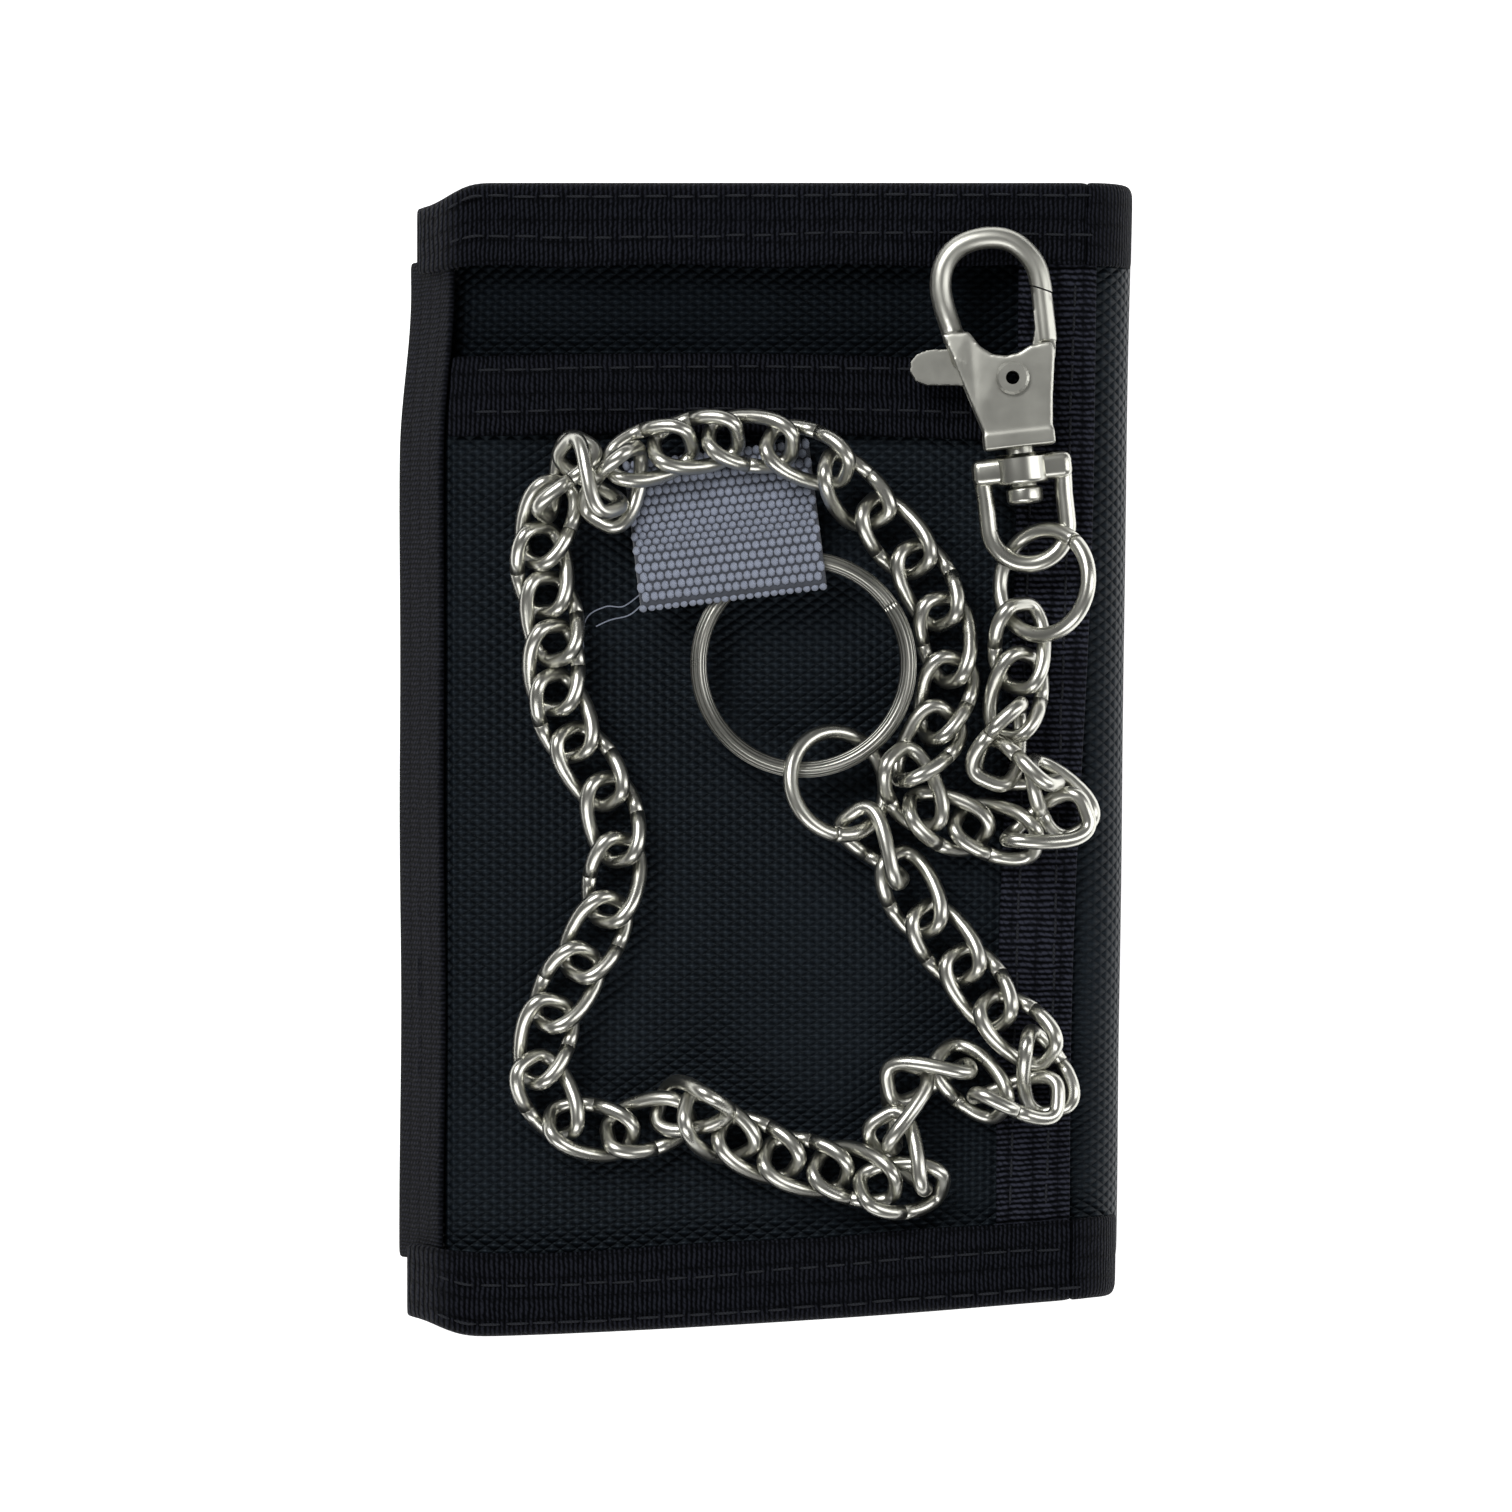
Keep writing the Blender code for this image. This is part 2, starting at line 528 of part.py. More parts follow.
left = LIP_X + 1.0 * MM
pocket = rectangle(left, POCKET_RIGHT, -inner_y, POCKET_TOP - TAPE - GAP)
add("front_pocket", prism(pocket, POCKET_Z, POCKET_Z + CLOTH), CLOTH_LOOK)
mouth = [(POCKET_TOP, POCKET_Z), (POCKET_TOP, STRIP_Z + TAPE), (POCKET_TOP - POCKET_TAPE, STRIP_Z + TAPE),
         (POCKET_TOP - POCKET_TAPE, STRIP_Z), (POCKET_TOP - TAPE, STRIP_Z), (POCKET_TOP - TAPE, POCKET_Z)]
add("pocket_tape", prism(mouth, left, POCKET_RIGHT - 2.6 * MM, "x"), TAPE_LOOK)
strip = [(STRIP_FOOT_X - STRIP_WIDTH / 2, -inner_y), (STRIP_FOOT_X + STRIP_WIDTH / 2, -inner_y),
         (STRIP_TOP_X + STRIP_WIDTH / 2, inner_y), (STRIP_TOP_X - STRIP_WIDTH / 2, inner_y)]
add("side_webbing", prism(strip, STRIP_Z, STRIP_Z + STRIP_THICK), TAPE_LOOK)

# Key loop: a lower ply, a fold inside the split ring, and an upper ply that lies over the ring
under = FACE_Z + GAP + TAB_THICK / 2
over = split_height() + SPLIT_STRIP + GAP / 2 + GAP + TAB_THICK / 2
rest = under + TAB_THICK + GAP
foot = -TAB_LENGTH + TAB_THICK / 2
loop = [(0.0, under), (foot, under), (foot, over), (-11.0 * MM, over), (-8.2 * MM, rest), (0.0, rest)]
tab_place = Matrix.Translation((*TAB_TOP, 0.0)) @ Matrix.Rotation(TAB_TILT, 4, "Z")
plies = prism(ribbon(loop, TAB_THICK), -TAB_WIDTH / 2, TAB_WIDTH / 2, "x")
tab = add("key_tab", turned(plies, tab_place), ((0.20, 0.22, 0.28), 0.9))
gap_box = prism(rectangle(-TAB_WIDTH, TAB_FOLD, -TAB_LENGTH - MM, foot + 2 * MM),
                under + TAB_THICK / 2 + 0.1 * MM, over - TAB_THICK / 2 - 0.1 * MM)
change(tab, add("tab_opening", turned(gap_box, tab_place), None, shaping), "DIFFERENCE")

# Rings
link_middles, link_axes, jump_middles, jump_axes = lay_chain()
section = bpy.data.curves.new("band", "CURVE")
section.dimensions = "2D"
shape = section.splines.new("POLY")
shape.points.add(3)
flat_wire = rectangle(-SPLIT_BAND / 2, SPLIT_BAND / 2, -SPLIT_STRIP / 2, SPLIT_STRIP / 2)
for slot, (x, y) in zip(shape.points, flat_wire):
    slot.co = (x, y, 0.0, 1.0)
shape.use_cyclic_u = True
band = add("split_ring_section", section, None, shaping)
band.hide_render = True
pitch = SPLIT_STRIP + GAP
turns = np.linspace(0, 4 * math.pi, 49)
coil = [(SPLIT_CENTRE[0] + SPLIT_RADIUS * math.cos(t + 0.6), SPLIT_CENTRE[1] + SPLIT_RADIUS * math.sin(t + 0.6),
         split_height() + pitch * (0.5 * math.tanh((t - 2 * math.pi) * 3.0))) for t in turns]
add("split_ring", wire_mesh(coil, 0.0, guide=band), STEEL_LOOK)


def frame_of(middle, axes):
    """A matrix from a place and three axes."""
    return Matrix.Translation(Vector(middle)) @ Matrix(axes.tolist()).to_4x4()


for number, middle, axes in zip((1, 2), jump_middles, jump_axes):
    ring = wire_mesh(ring_outline(JUMP_RADIUS, 18), JUMP_WIRE, 1, True)
    add(f"jump_ring_{number}", turned(ring, frame_of(middle, axes)), STEEL_LOOK)

# Chain: neighbouring links joined in pairs by a small bead where their wires meet
outline = link_outline()
fine = with_steps_between(outline, 6)
count = len(link_middles)


def link_mesh(index):
    place = frame_of(link_middles[index], link_axes[index])
    return turned(wire_mesh(outline, LINK_WIRE, 1, True), place)


for first in range(0, count, 2):
    if first + 1 == count:
        add(f"chain_link_{first + 1:02d}", link_mesh(first), STEEL_LOOK)
        continue
    pair = add(f"chain_links_{first + 1:02d}_{first + 2:02d}", link_mesh(first), STEEL_LOOK)
    mate = add("second_link", link_mesh(first + 1), None, shaping)
    one = link_middles[first] + fine @ link_axes[first].T
    two = link_middles[first + 1] + fine @ link_axes[first + 1].T
    apart = np.linalg.norm(one[:, None] - two[None], axis=2)
    at_one, at_two = np.unravel_index(apart.argmin(), apart.shape)
    work = bmesh.new()
    bmesh.ops.create_icosphere(work, subdivisions=2, radius=apart.min() / 2 - LINK_WIRE + BEAD_BITE)
    meeting = Matrix.Translation(Vector((one[at_one] + two[at_two]) / 2))
    bead = add("bead", turned(mesh_from(work), meeting), None, shaping)
    change(pair, mate, "UNION")
    change(pair, bead, "UNION")

# Clasp, built in its own plane and then laid on the wallet
clasp_place = Matrix.Translation(clasp_point(0.0, 0.0)) @ Matrix.Rotation(CLASP_TILT, 4, "Z")


def in_mm(points):
    return [tuple(value * MM for value in point) for point in points]


def solid_of_turning(profile, steps):
    """A (radius, height) profile that starts and ends on the axis, turned about Z."""
    on_axis = 0.0001 * MM
    return merged(lathe([(on_axis, profile[0][1]), *profile, (on_axis, profile[-1][1])], steps))


half = CLASP_THICK / 2
body_outline = in_mm([
    (-7.0, 7.4), (-6.7, 5.2), (-6.0, 2.4), (-5.1, -0.8), (-4.2, -3.8), (-3.6, -5.6), (-3.8, -6.2),
    (-3.6, -7.6), (3.6, -7.6), (3.9, -6.2), (3.8, -5.6), (4.2, -2.2), (4.6, 0.6), (4.95, 2.6),
    (4.6, 3.3), (2.3, 3.15), (1.0, 2.7), (-0.4, 2.5), (-1.8, 2.8), (-3.1, 3.8), (-4.1, 5.4), (-4.9, 7.4)])
body = add("clasp_body", turned(prism(body_outline, -half, half), clasp_place), STEEL_LOOK)
rounded(body, 0.5 * MM)
hook = in_mm([(-5.5, 3.8), (-6.1, 6.6), (-6.65, 10.2), (-6.3, 12.4), (-5.2, 14.1), (-3.2, 15.3), (-0.5, 15.6),
              (1.8, 14.9), (3.4, 13.3), (4.2, 11.4), (4.3, 8.6)])
hook_wire = wire_mesh([(x, y, 0.0) for x, y in hook], HOOK_WIRE, 2)
change(body, add("hook_wire", turned(hook_wire, clasp_place), None, shaping), "UNION")
along_v = Matrix.Rotation(math.radians(90.0), 4, "X")
stem = [(POST_RADIUS, 6.4 * MM), (POST_RADIUS, 12.0 * MM), (POST_HEAD, 12.3 * MM), (POST_HEAD, 13.2 * MM),
        (POST_HEAD - 0.5 * MM, 13.7 * MM)]
post = turned(solid_of_turning(stem, 14), clasp_place @ along_v)
change(body, add("post", post, None, shaping), "UNION")

# Cut from the body: the mouth that the latch closes, the latch's slot, the spring's well and the bore
mouth = prism(in_mm([(2.2, 10.45), (2.2, 3.9), (7.0, 3.9), (7.0, 8.3)]), -half, half)
change(body, add("hook_mouth", turned(mouth, clasp_place), None, shaping), "DIFFERENCE")
slot_half = LATCH_THICK / 2 + LATCH_PLAY
slot = prism(in_mm(rectangle(-12.0, 6.5, -2.6, 4.6)), -slot_half, slot_half)
change(body, add("latch_slot", turned(slot, clasp_place), None, shaping), "DIFFERENCE")
well = prism(in_mm(rectangle(-3.4, -1.4, -5.0, -2.4)), -slot_half, slot_half)
change(body, add("spring_well", turned(well, clasp_place), None, shaping), "DIFFERENCE")
bore_radius = RIVET_RADIUS + 0.15 * MM
bore = turned(solid_of_turning([(bore_radius, -4 * MM), (bore_radius, 4 * MM)], 16), clasp_place)
change(body, add("rivet_bore", bore, None, shaping), "DIFFERENCE")

# Latch: a thumb plate through the slot, and an arm as thick as the hook that closes its mouth
latch_outline = in_mm([
    (3.3, 9.1), (5.2, 8.3), (5.35, 4.4), (5.0, 2.0), (4.2, -0.6), (3.0, -1.7), (1.0, -2.2), (-1.0, -2.0),
    (-3.6, -0.6), (-6.0, -0.1), (-9.4, 0.3), (-10.5, 0.9), (-11.0, 2.0), (-10.8, 3.1), (-10.0, 3.8),
    (-8.8, 4.1), (-6.6, 4.0), (-5.0, 2.2), (-0.4, 1.9), (1.9, 2.5), (2.8, 3.6), (3.2, 5.2)])
plate = prism(latch_outline, -LATCH_THICK / 2, LATCH_THICK / 2)
latch = add("clasp_latch", turned(plate, clasp_place), STEEL_LOOK)
arm = wire_mesh(in_mm([(4.28, 3.75, 0.0), (4.28, 9.9, 0.0)]), LATCH_ROD, 2)
change(latch, add("latch_arm", turned(arm, clasp_place), None, shaping), "UNION")
beyond = prism(in_mm([(2.0, 10.2), (7.0, 7.93), (7.0, 12.0), (2.0, 12.0)]), -half, half)
change(latch, add("beyond_mouth", turned(beyond, clasp_place), None, shaping), "DIFFERENCE")
change(latch, add("latch_bore", bore.copy(), None, shaping), "DIFFERENCE")
shoulder = half + GAP
head = shoulder + 0.4 * MM
rivet = [(RIVET_HOLE, -head), (RIVET_HEAD - 0.3 * MM, -head), (RIVET_HEAD, -shoulder - 0.15 * MM),
         (RIVET_HEAD, -shoulder), (RIVET_RADIUS, -shoulder), (RIVET_RADIUS, shoulder), (RIVET_HEAD, shoulder),
         (RIVET_HEAD, shoulder + 0.15 * MM), (RIVET_HEAD - 0.3 * MM, head), (RIVET_HOLE, head)]
add("clasp_rivet", turned(lathe(rivet, 20), clasp_place), STEEL_LOOK)

spring_turns = np.linspace(0, 7 * math.pi, 36)
spring = [((-2.4 + 0.6 * math.cos(t)) * MM, (-4.8 + 2.45 * t / (7 * math.pi)) * MM, 0.6 * MM * math.sin(t))
          for t in spring_turns]
add("latch_spring", turned(wire_mesh(spring, 0.17 * MM, 1), clasp_place), STEEL_LOOK)

bail_wire = wire_mesh([(x, y, 0.0) for x, y in bail_line(19)], BAIL_WIRE, 2)
bail = add("clasp_bail", turned(bail_wire, clasp_place), STEEL_LOOK)
inner = POST_RADIUS + SWIVEL_PLAY
collar = lathe([(inner, -COLLAR_TOP), (COLLAR_RADIUS, -COLLAR_TOP), (COLLAR_RADIUS, -COLLAR_FOOT),
                (inner, -COLLAR_FOOT)], 20)
change(bail, add("collar", turned(collar, clasp_place @ along_v), None, shaping), "UNION")
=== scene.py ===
"""Chain wallet, seen from above: bound cloth panels, a key loop with its split ring, and a wallet
chain that ends in a swivel snap clasp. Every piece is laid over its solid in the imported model.
"""

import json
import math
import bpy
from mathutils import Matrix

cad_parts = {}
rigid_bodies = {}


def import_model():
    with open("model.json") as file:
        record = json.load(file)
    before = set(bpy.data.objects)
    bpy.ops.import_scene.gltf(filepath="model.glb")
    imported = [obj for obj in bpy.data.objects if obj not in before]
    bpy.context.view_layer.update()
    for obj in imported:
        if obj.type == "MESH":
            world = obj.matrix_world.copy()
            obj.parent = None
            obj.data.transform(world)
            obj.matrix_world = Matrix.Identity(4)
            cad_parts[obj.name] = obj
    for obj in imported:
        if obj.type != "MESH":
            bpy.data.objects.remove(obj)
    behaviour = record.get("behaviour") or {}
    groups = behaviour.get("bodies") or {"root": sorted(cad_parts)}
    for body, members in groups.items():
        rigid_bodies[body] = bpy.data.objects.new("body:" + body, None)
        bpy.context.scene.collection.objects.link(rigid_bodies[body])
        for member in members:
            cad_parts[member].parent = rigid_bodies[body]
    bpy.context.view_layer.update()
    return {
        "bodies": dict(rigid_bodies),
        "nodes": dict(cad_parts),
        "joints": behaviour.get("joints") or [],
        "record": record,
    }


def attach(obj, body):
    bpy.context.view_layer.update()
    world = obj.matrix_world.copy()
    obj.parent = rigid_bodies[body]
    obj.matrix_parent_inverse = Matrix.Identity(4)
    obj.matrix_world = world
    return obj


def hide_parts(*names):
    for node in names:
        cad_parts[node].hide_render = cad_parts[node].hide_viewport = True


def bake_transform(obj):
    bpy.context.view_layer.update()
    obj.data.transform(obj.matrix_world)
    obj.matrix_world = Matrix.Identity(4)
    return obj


bl_info = {
    "name": "Chain wallet",
    "version": (1, 0, 0),
    "blender": (4, 5, 0),
    "location": "3D View > Sidebar > Wallet",
    "description": "Builds a cloth wallet with its chain, rings and clasp",
    "category": "Object",
}

import bmesh
import bpy
import numpy as np
from bpy.props import FloatProperty, FloatVectorProperty, IntProperty, PointerProperty
from mathutils import Matrix, Vector

MM = 0.001

# Clearances
GAP = 0.3 * MM              # between pieces that touch in the real wallet

# Wallet, closed
WIDTH = 82.0 * MM           # left edge to spine
HEIGHT = 127.0 * MM         # along the spine
CLOTH = 1.0 * MM            # coated cloth with its backing
LINING = 0.6 * MM
TAPE = 0.7 * MM             # binding tape, one layer
TAPE_FACE = 9.35 * MM       # what a folded binding covers on each side
CARD_LAYER = 0.4 * MM
BILL_SPACE = 1.2 * MM       # each side of the divider in the bill compartment
FLAP_SPACE = 1.2 * MM       # between the flap's lining and its outer cloth
LIP_SLOPE = math.radians(57.0)
LIP_LENGTH = 8.9 * MM       # the part of the flap that droops over the left side
SPINE_REACH = 5.4 * MM      # how far the rounded spine stands out from the panels

# Front pocket, strip and key loop
POCKET_TOP = 44.4 * MM      # height of the pocket's mouth above the wallet's middle
POCKET_RIGHT = 29.0 * MM
POCKET_TAPE = 9.0 * MM
STRIP_WIDTH = 8.8 * MM
STRIP_TOP_X = 32.9 * MM     # middle of the upright webbing strip at the top and at the bottom
STRIP_FOOT_X = 30.8 * MM
STRIP_THICK = 0.8 * MM
TAB_WIDTH = 20.6 * MM
TAB_LENGTH = 16.2 * MM
TAB_THICK = 1.1 * MM
TAB_TILT = math.radians(7.0)
TAB_OVER_RING = (-9.6 * MM, 11.9 * MM)   # the loop's top, from the split ring's highest point
TAB_FOLD = 3.0 * MM         # the fold runs from here to the right side, inside the split ring

# Inner fittings
CARD_WIDTH = 56.0 * MM
CARD_STEPS = (42.0 * MM, 27.0 * MM, 12.0 * MM)   # mouths of the card pockets, deepest first
CARD_FOOT = -52.0 * MM
PATCH = (7.0 * MM, 52.0 * MM)
PATCH_THICK = 0.8 * MM

# Rings
SPLIT_RADIUS = 11.5 * MM    # to the middle of the band
SPLIT_BAND = 1.8 * MM       # width of the flattened wire
SPLIT_STRIP = 1.0 * MM      # its thickness; the two turns lie one on the other
SPLIT_FOOT = (4.2 * MM, -1.1 * MM)   # its lowest point, where the first jump ring hangs
JUMP_RADIUS = 5.8 * MM
JUMP_WIRE = 0.85 * MM
RING_ONE = (9.3, -2.6, 3.5, 113, 28)     # middle x, y, height above the face, heading, lean
RING_TWO = (30.6, 18.2, 4.0, 97, -31)

# Chain of twisted open links
LINK_LENGTH = 10.8 * MM     # outside
LINK_WIDTH = 7.0 * MM       # outside
LINK_WIRE = 0.8 * MM        # radius
LINK_TWIST = math.radians(45.0)
LINK_POINTS = 12
LINK_GAP = 0.28 * MM        # least air left between two wires

# Clasp, in its own plane: (across, along), measured from its rivet, hook end up
CLASP_PLACE = (27.0 * MM, 41.7 * MM)
CLASP_TILT = math.radians(6.3)
CLASP_THICK = 4.6 * MM
LATCH_THICK = 1.5 * MM
LATCH_PLAY = 0.3 * MM       # air on each side of the latch
LATCH_ROD = 1.1 * MM        # radius of the latch's arm
HOOK_WIRE = 1.15 * MM
RIVET_RADIUS = 1.15 * MM
BAIL_WIRE = 0.9 * MM
BAIL_WIDTH = 10.4 * MM
BAIL_FOOT = -21.3 * MM      # lowest point of the bail's wire, along the clasp
COLLAR_TOP = -8.3 * MM
COLLAR_FOOT = -11.6 * MM
COLLAR_RADIUS = 2.9 * MM
POST_RADIUS = 1.5 * MM
POST_HEAD = 2.0 * MM
SWIVEL_PLAY = 0.3 * MM

# Heights of the layers, worked out upwards from the surface that the wallet lies on
BACK_SHELL_Z = TAPE + GAP
DIVIDER_Z = BACK_SHELL_Z + CLOTH + BILL_SPACE
BACK_LINING_Z = DIVIDER_Z + LINING + BILL_SPACE
BACK_TOP_Z = BACK_LINING_Z + LINING + GAP + TAPE
CARD_Z = BACK_LINING_Z + LINING + GAP
PATCH_Z = BACK_TOP_Z + GAP
FLAP_FOOT_Z = PATCH_Z + 2 * PATCH_THICK + 2 * GAP - TAPE
FLAP_LINING_Z = FLAP_FOOT_Z + TAPE + GAP
FLAP_SHELL_Z = FLAP_LINING_Z + LINING + FLAP_SPACE
POCKET_Z = FLAP_SHELL_Z + CLOTH + GAP
STRIP_Z = POCKET_Z + CLOTH + GAP
FLAP_TAPE_Z = STRIP_Z + STRIP_THICK + GAP
FLAP_TOP_Z = FLAP_TAPE_Z + TAPE
FACE_Z = POCKET_Z + CLOTH

LEFT_X = -WIDTH / 2
TOP_Y = HEIGHT / 2
SPINE_X = WIDTH / 2 - SPINE_REACH         # where the panels end and the spine begins
LIP_X = LEFT_X + LIP_LENGTH * math.cos(LIP_SLOPE) + CLOTH / 2 + GAP + TAPE
BACK_LEFT_X = LIP_X - 1.0 * MM
CLASP_Z = STRIP_Z + STRIP_THICK + GAP + COLLAR_RADIUS
SPLIT_CENTRE = (SPLIT_FOOT[0], SPLIT_FOOT[1] + SPLIT_RADIUS)
TAB_TOP = (SPLIT_CENTRE[0] + TAB_OVER_RING[0], SPLIT_CENTRE[1] + SPLIT_RADIUS + TAB_OVER_RING[1])

INNER_Y = TOP_Y - TAPE - GAP              # the panels reach this far inside the bindings
LIP_DOWN = np.array([-math.cos(LIP_SLOPE), -math.sin(LIP_SLOPE)])   # as (x, z), down the lip
LIP_OUT = np.array([LIP_DOWN[1], -LIP_DOWN[0]])
STRIP_TOP_Z = STRIP_Z + STRIP_THICK

# How finely the cloth is divided, and how its folds are rounded
SHEET_STEP = 2.6 * MM
TAPE_STEP = 1.6 * MM
FOLD_RADIUS = 1.3 * MM
FOLD_STEP = 1.1 * MM
SPINE_TAPE_DEPTH = 6.4 * MM               # of the binding's fold where it passes round the spine
STITCH_INSETS = (1.6 * MM, 5.9 * MM)      # stitch rows from the wallet's edge
POCKET_STITCH_INSETS = (1.7 * MM, 6.3 * MM)
HALF_TURN = np.linspace(math.pi / 2, -math.pi / 2, 25)

# Outlines of the clasp's castings in millimetres, from its rivet
BODY_OUTLINE = [
    (-7.1, 5.6), (-6.1, 2.4), (-5.2, -0.8), (-4.3, -3.8), (-3.7, -5.8), (3.8, -5.8), (4.15, -2.6),
    (4.65, 0.6), (4.95, 2.6), (4.6, 3.5), (2.3, 3.35), (1.0, 2.7), (-0.4, 2.5), (-1.8, 2.8),
    (-3.1, 3.8), (-4.2, 5.6),
]
HOOK_LINE = [
    (-5.3, 2.2), (-5.9, 5.6), (-6.5, 8.6), (-6.65, 10.9), (-6.1, 13.0), (-4.8, 14.6), (-2.9, 15.45),
    (-0.5, 15.6), (1.6, 14.95), (3.2, 13.4), (4.1, 11.4), (4.3, 8.6),
]
LATCH_OUTLINE = [
    (3.2, 9.0), (5.3, 8.2), (5.35, 4.4), (5.0, 2.0), (4.2, -0.6), (3.0, -1.7), (1.0, -2.2),
    (-1.0, -2.0), (-3.6, -0.6), (-6.0, -0.1), (-9.4, 0.3), (-10.5, 0.9), (-11.0, 2.0), (-10.8, 3.1),
    (-10.0, 3.8), (-8.8, 4.1), (-6.6, 4.0), (-5.0, 2.2), (-0.4, 1.9), (1.7, 2.3), (2.6, 3.4),
    (3.1, 5.2),
]
MOUTH_CUT = [(2.2, 10.4), (2.2, 4.4), (7.0, 4.4), (7.0, 8.25)]
BEYOND_MOUTH = [(2.0, 10.32), (7.0, 8.05), (7.0, 12.0), (2.0, 12.0)]

# Loose threads of the key loop's cut end, in millimetres in its own plane
LOOSE_THREADS = (
    [(-TAB_WIDTH / 2 / MM, -14.6, 0.4), (-12.2, -15.6, 0.6), (-14.2, -15.4, 0.2), (-16.5, -16.6, 0.0),
     (-17.2, -20.5, 0.1)],
    [(-9.8, -15.4, 0.4), (-11.6, -16.6, 0.3), (-13.8, -16.9, 0.0), (-15.4, -17.4, 0.1)],
)

FLOOR_Z = -0.0004
# Lamps: name, place, width, height and power; each faces the middle of the floor
LAMPS = (
    ("key_light", (-0.42, 0.55, 0.80), 0.60, 0.45, 7.2),
    ("fill_light", (0.85, 0.05, 0.55), 0.45, 0.9, 3.6),
    ("foot_light", (-0.10, -0.75, 0.65), 0.9, 0.40, 3.9),
)

# Looks: a finish and a material slot
OUTER = ("cloth", "coated_cloth")
# The recessed flap cloth takes a darker finish: painted shade of the recess under the top binding.
SHADE_PAINTED_RECESS = ("inner_cloth", "coated_cloth")
LINED = ("lining", "lining")
TAPED = ("tape", "tape")
WEBBED = ("webbing", "tape")

# Where the chain's links meet: x, y, height above the resting height, and the roll of the link
# that ends there in degrees. The first point is on the first ring and the last on the second.
ROUTE = [
    (11.0, -8.4, 1.4, 0), (13.9, -12.6, 0.8, 60), (18.2, -17.6, 0.0, -20), (21.8, -22.6, 0.0, 0),
    (25.4, -27.5, 0.6, 0), (30.0, -31.6, 2.2, -15), (30.4, -36.4, 1.6, -45), (24.6, -37.2, 0.6, 60),
    (20.6, -33.4, 1.8, 0), (15.4, -36.2, 2.6, -60), (14.2, -40.8, 1.6, 45),
    (16.6, -45.4, 0.8, 45), (12.4, -47.2, 0.3, 0), (7.2, -44.2, 0.5, -30), (1.4, -43.6, 0.0, -15),
    (-3.4, -42.2, 0.4, 0), (-6.4, -38.0, 1.6, 0), (-10.6, -38.9, 0.2, -15), (-16.0, -40.9, 0.0, 0),
    (-21.6, -39.4, 0.0, 0), (-24.6, -34.4, 0.0, 0), (-23.5, -28.2, 0.0, 0), (-20.1, -22.3, 0.0, 0),
    (-17.2, -16.6, 0.0, 0), (-16.0, -9.8, 0.0, 0), (-17.3, -3.3, 0.0, 0), (-21.1, 2.3, 0.0, 0),
    (-23.5, 8.1, 0.2, 30), (-22.7, 13.0, 0.8, 45), (-24.0, 17.8, 0.2, 30), (-24.6, 23.2, 0.0, 0),
    (-23.4, 28.2, 1.0, 0), (-20.4, 32.6, 1.0, 90), (-17.8, 28.6, 3.0, 75), (-15.0, 32.8, 2.2, 30),
    (-10.3, 33.9, 2.0, 0), (-4.9, 35.1, 1.6, 0), (1.5, 34.8, 1.6, 0), (7.4, 31.8, 1.2, 0),
    (12.2, 27.3, 0.0, 0), (16.3, 21.9, 0.0, 0), (19.2, 15.5, 0.0, 0), (19.6, 9.4, 0.4, 30),
    (17.6, 4.6, 0.8, 45), (15.5, -0.4, 2.0, 60), (16.8, -6.2, 2.6, 15), (22.6, -6.8, 1.6, 0),
    (28.2, -8.4, 0.6, 0), (33.0, -6.0, 1.4, -45), (29.8, -2.2, 3.0, 45), (25.8, 0.6, 2.6, -45),
    (27.0, 4.6, 1.4, 45), (27.7, 9.4, 0.6, 15), (28.2, 13.4, 0.6, 45),
]
CHAIN_SETTLING = 420        # small moves that lay the links down clear of each other


def link_outline(count=LINK_POINTS, squareness=0.8):
    """The middle line of one link: an oval along X whose ends are twisted each way."""
    half_length = LINK_LENGTH / 2 - LINK_WIRE
    half_width = LINK_WIDTH / 2 - LINK_WIRE
    points = []
    for step in range(count):
        turn = 2 * math.pi * step / count
        along = half_length * math.copysign(abs(math.cos(turn)) ** squareness, math.cos(turn))
        across = half_width * math.copysign(abs(math.sin(turn)) ** squareness, math.sin(turn))
        twist = LINK_TWIST * along / half_length
        points.append((along, across * math.cos(twist), across * math.sin(twist)))
    return np.array(points)


def ring_outline(radius, count, start=0.0, end=2 * math.pi):
    turns = start + (end - start) * np.arange(count) / count
    return np.stack([radius * np.cos(turns), radius * np.sin(turns), 0 * turns], axis=1)


def with_steps_between(loop, steps):
    """A closed loop's points with evenly spaced points added on each of its sides."""
    onwards = np.roll(loop, -1, axis=0) - loop
    added = [loop[:, None] + onwards[:, None] * k / steps for k in range(steps)]
    return np.concatenate(added, 1).reshape(-1, 3)


def axes_along(direction, roll):
    """A turned frame whose X runs along direction, level across unless rolled about it."""
    forward = direction / np.linalg.norm(direction)
    across = np.cross((0.0, 0.0, 1.0), forward)
    across /= np.linalg.norm(across)
    upward = np.cross(forward, across)
    c, s = math.cos(roll), math.sin(roll)
    return np.stack([forward, c * across + s * upward, c * upward - s * across], axis=1)


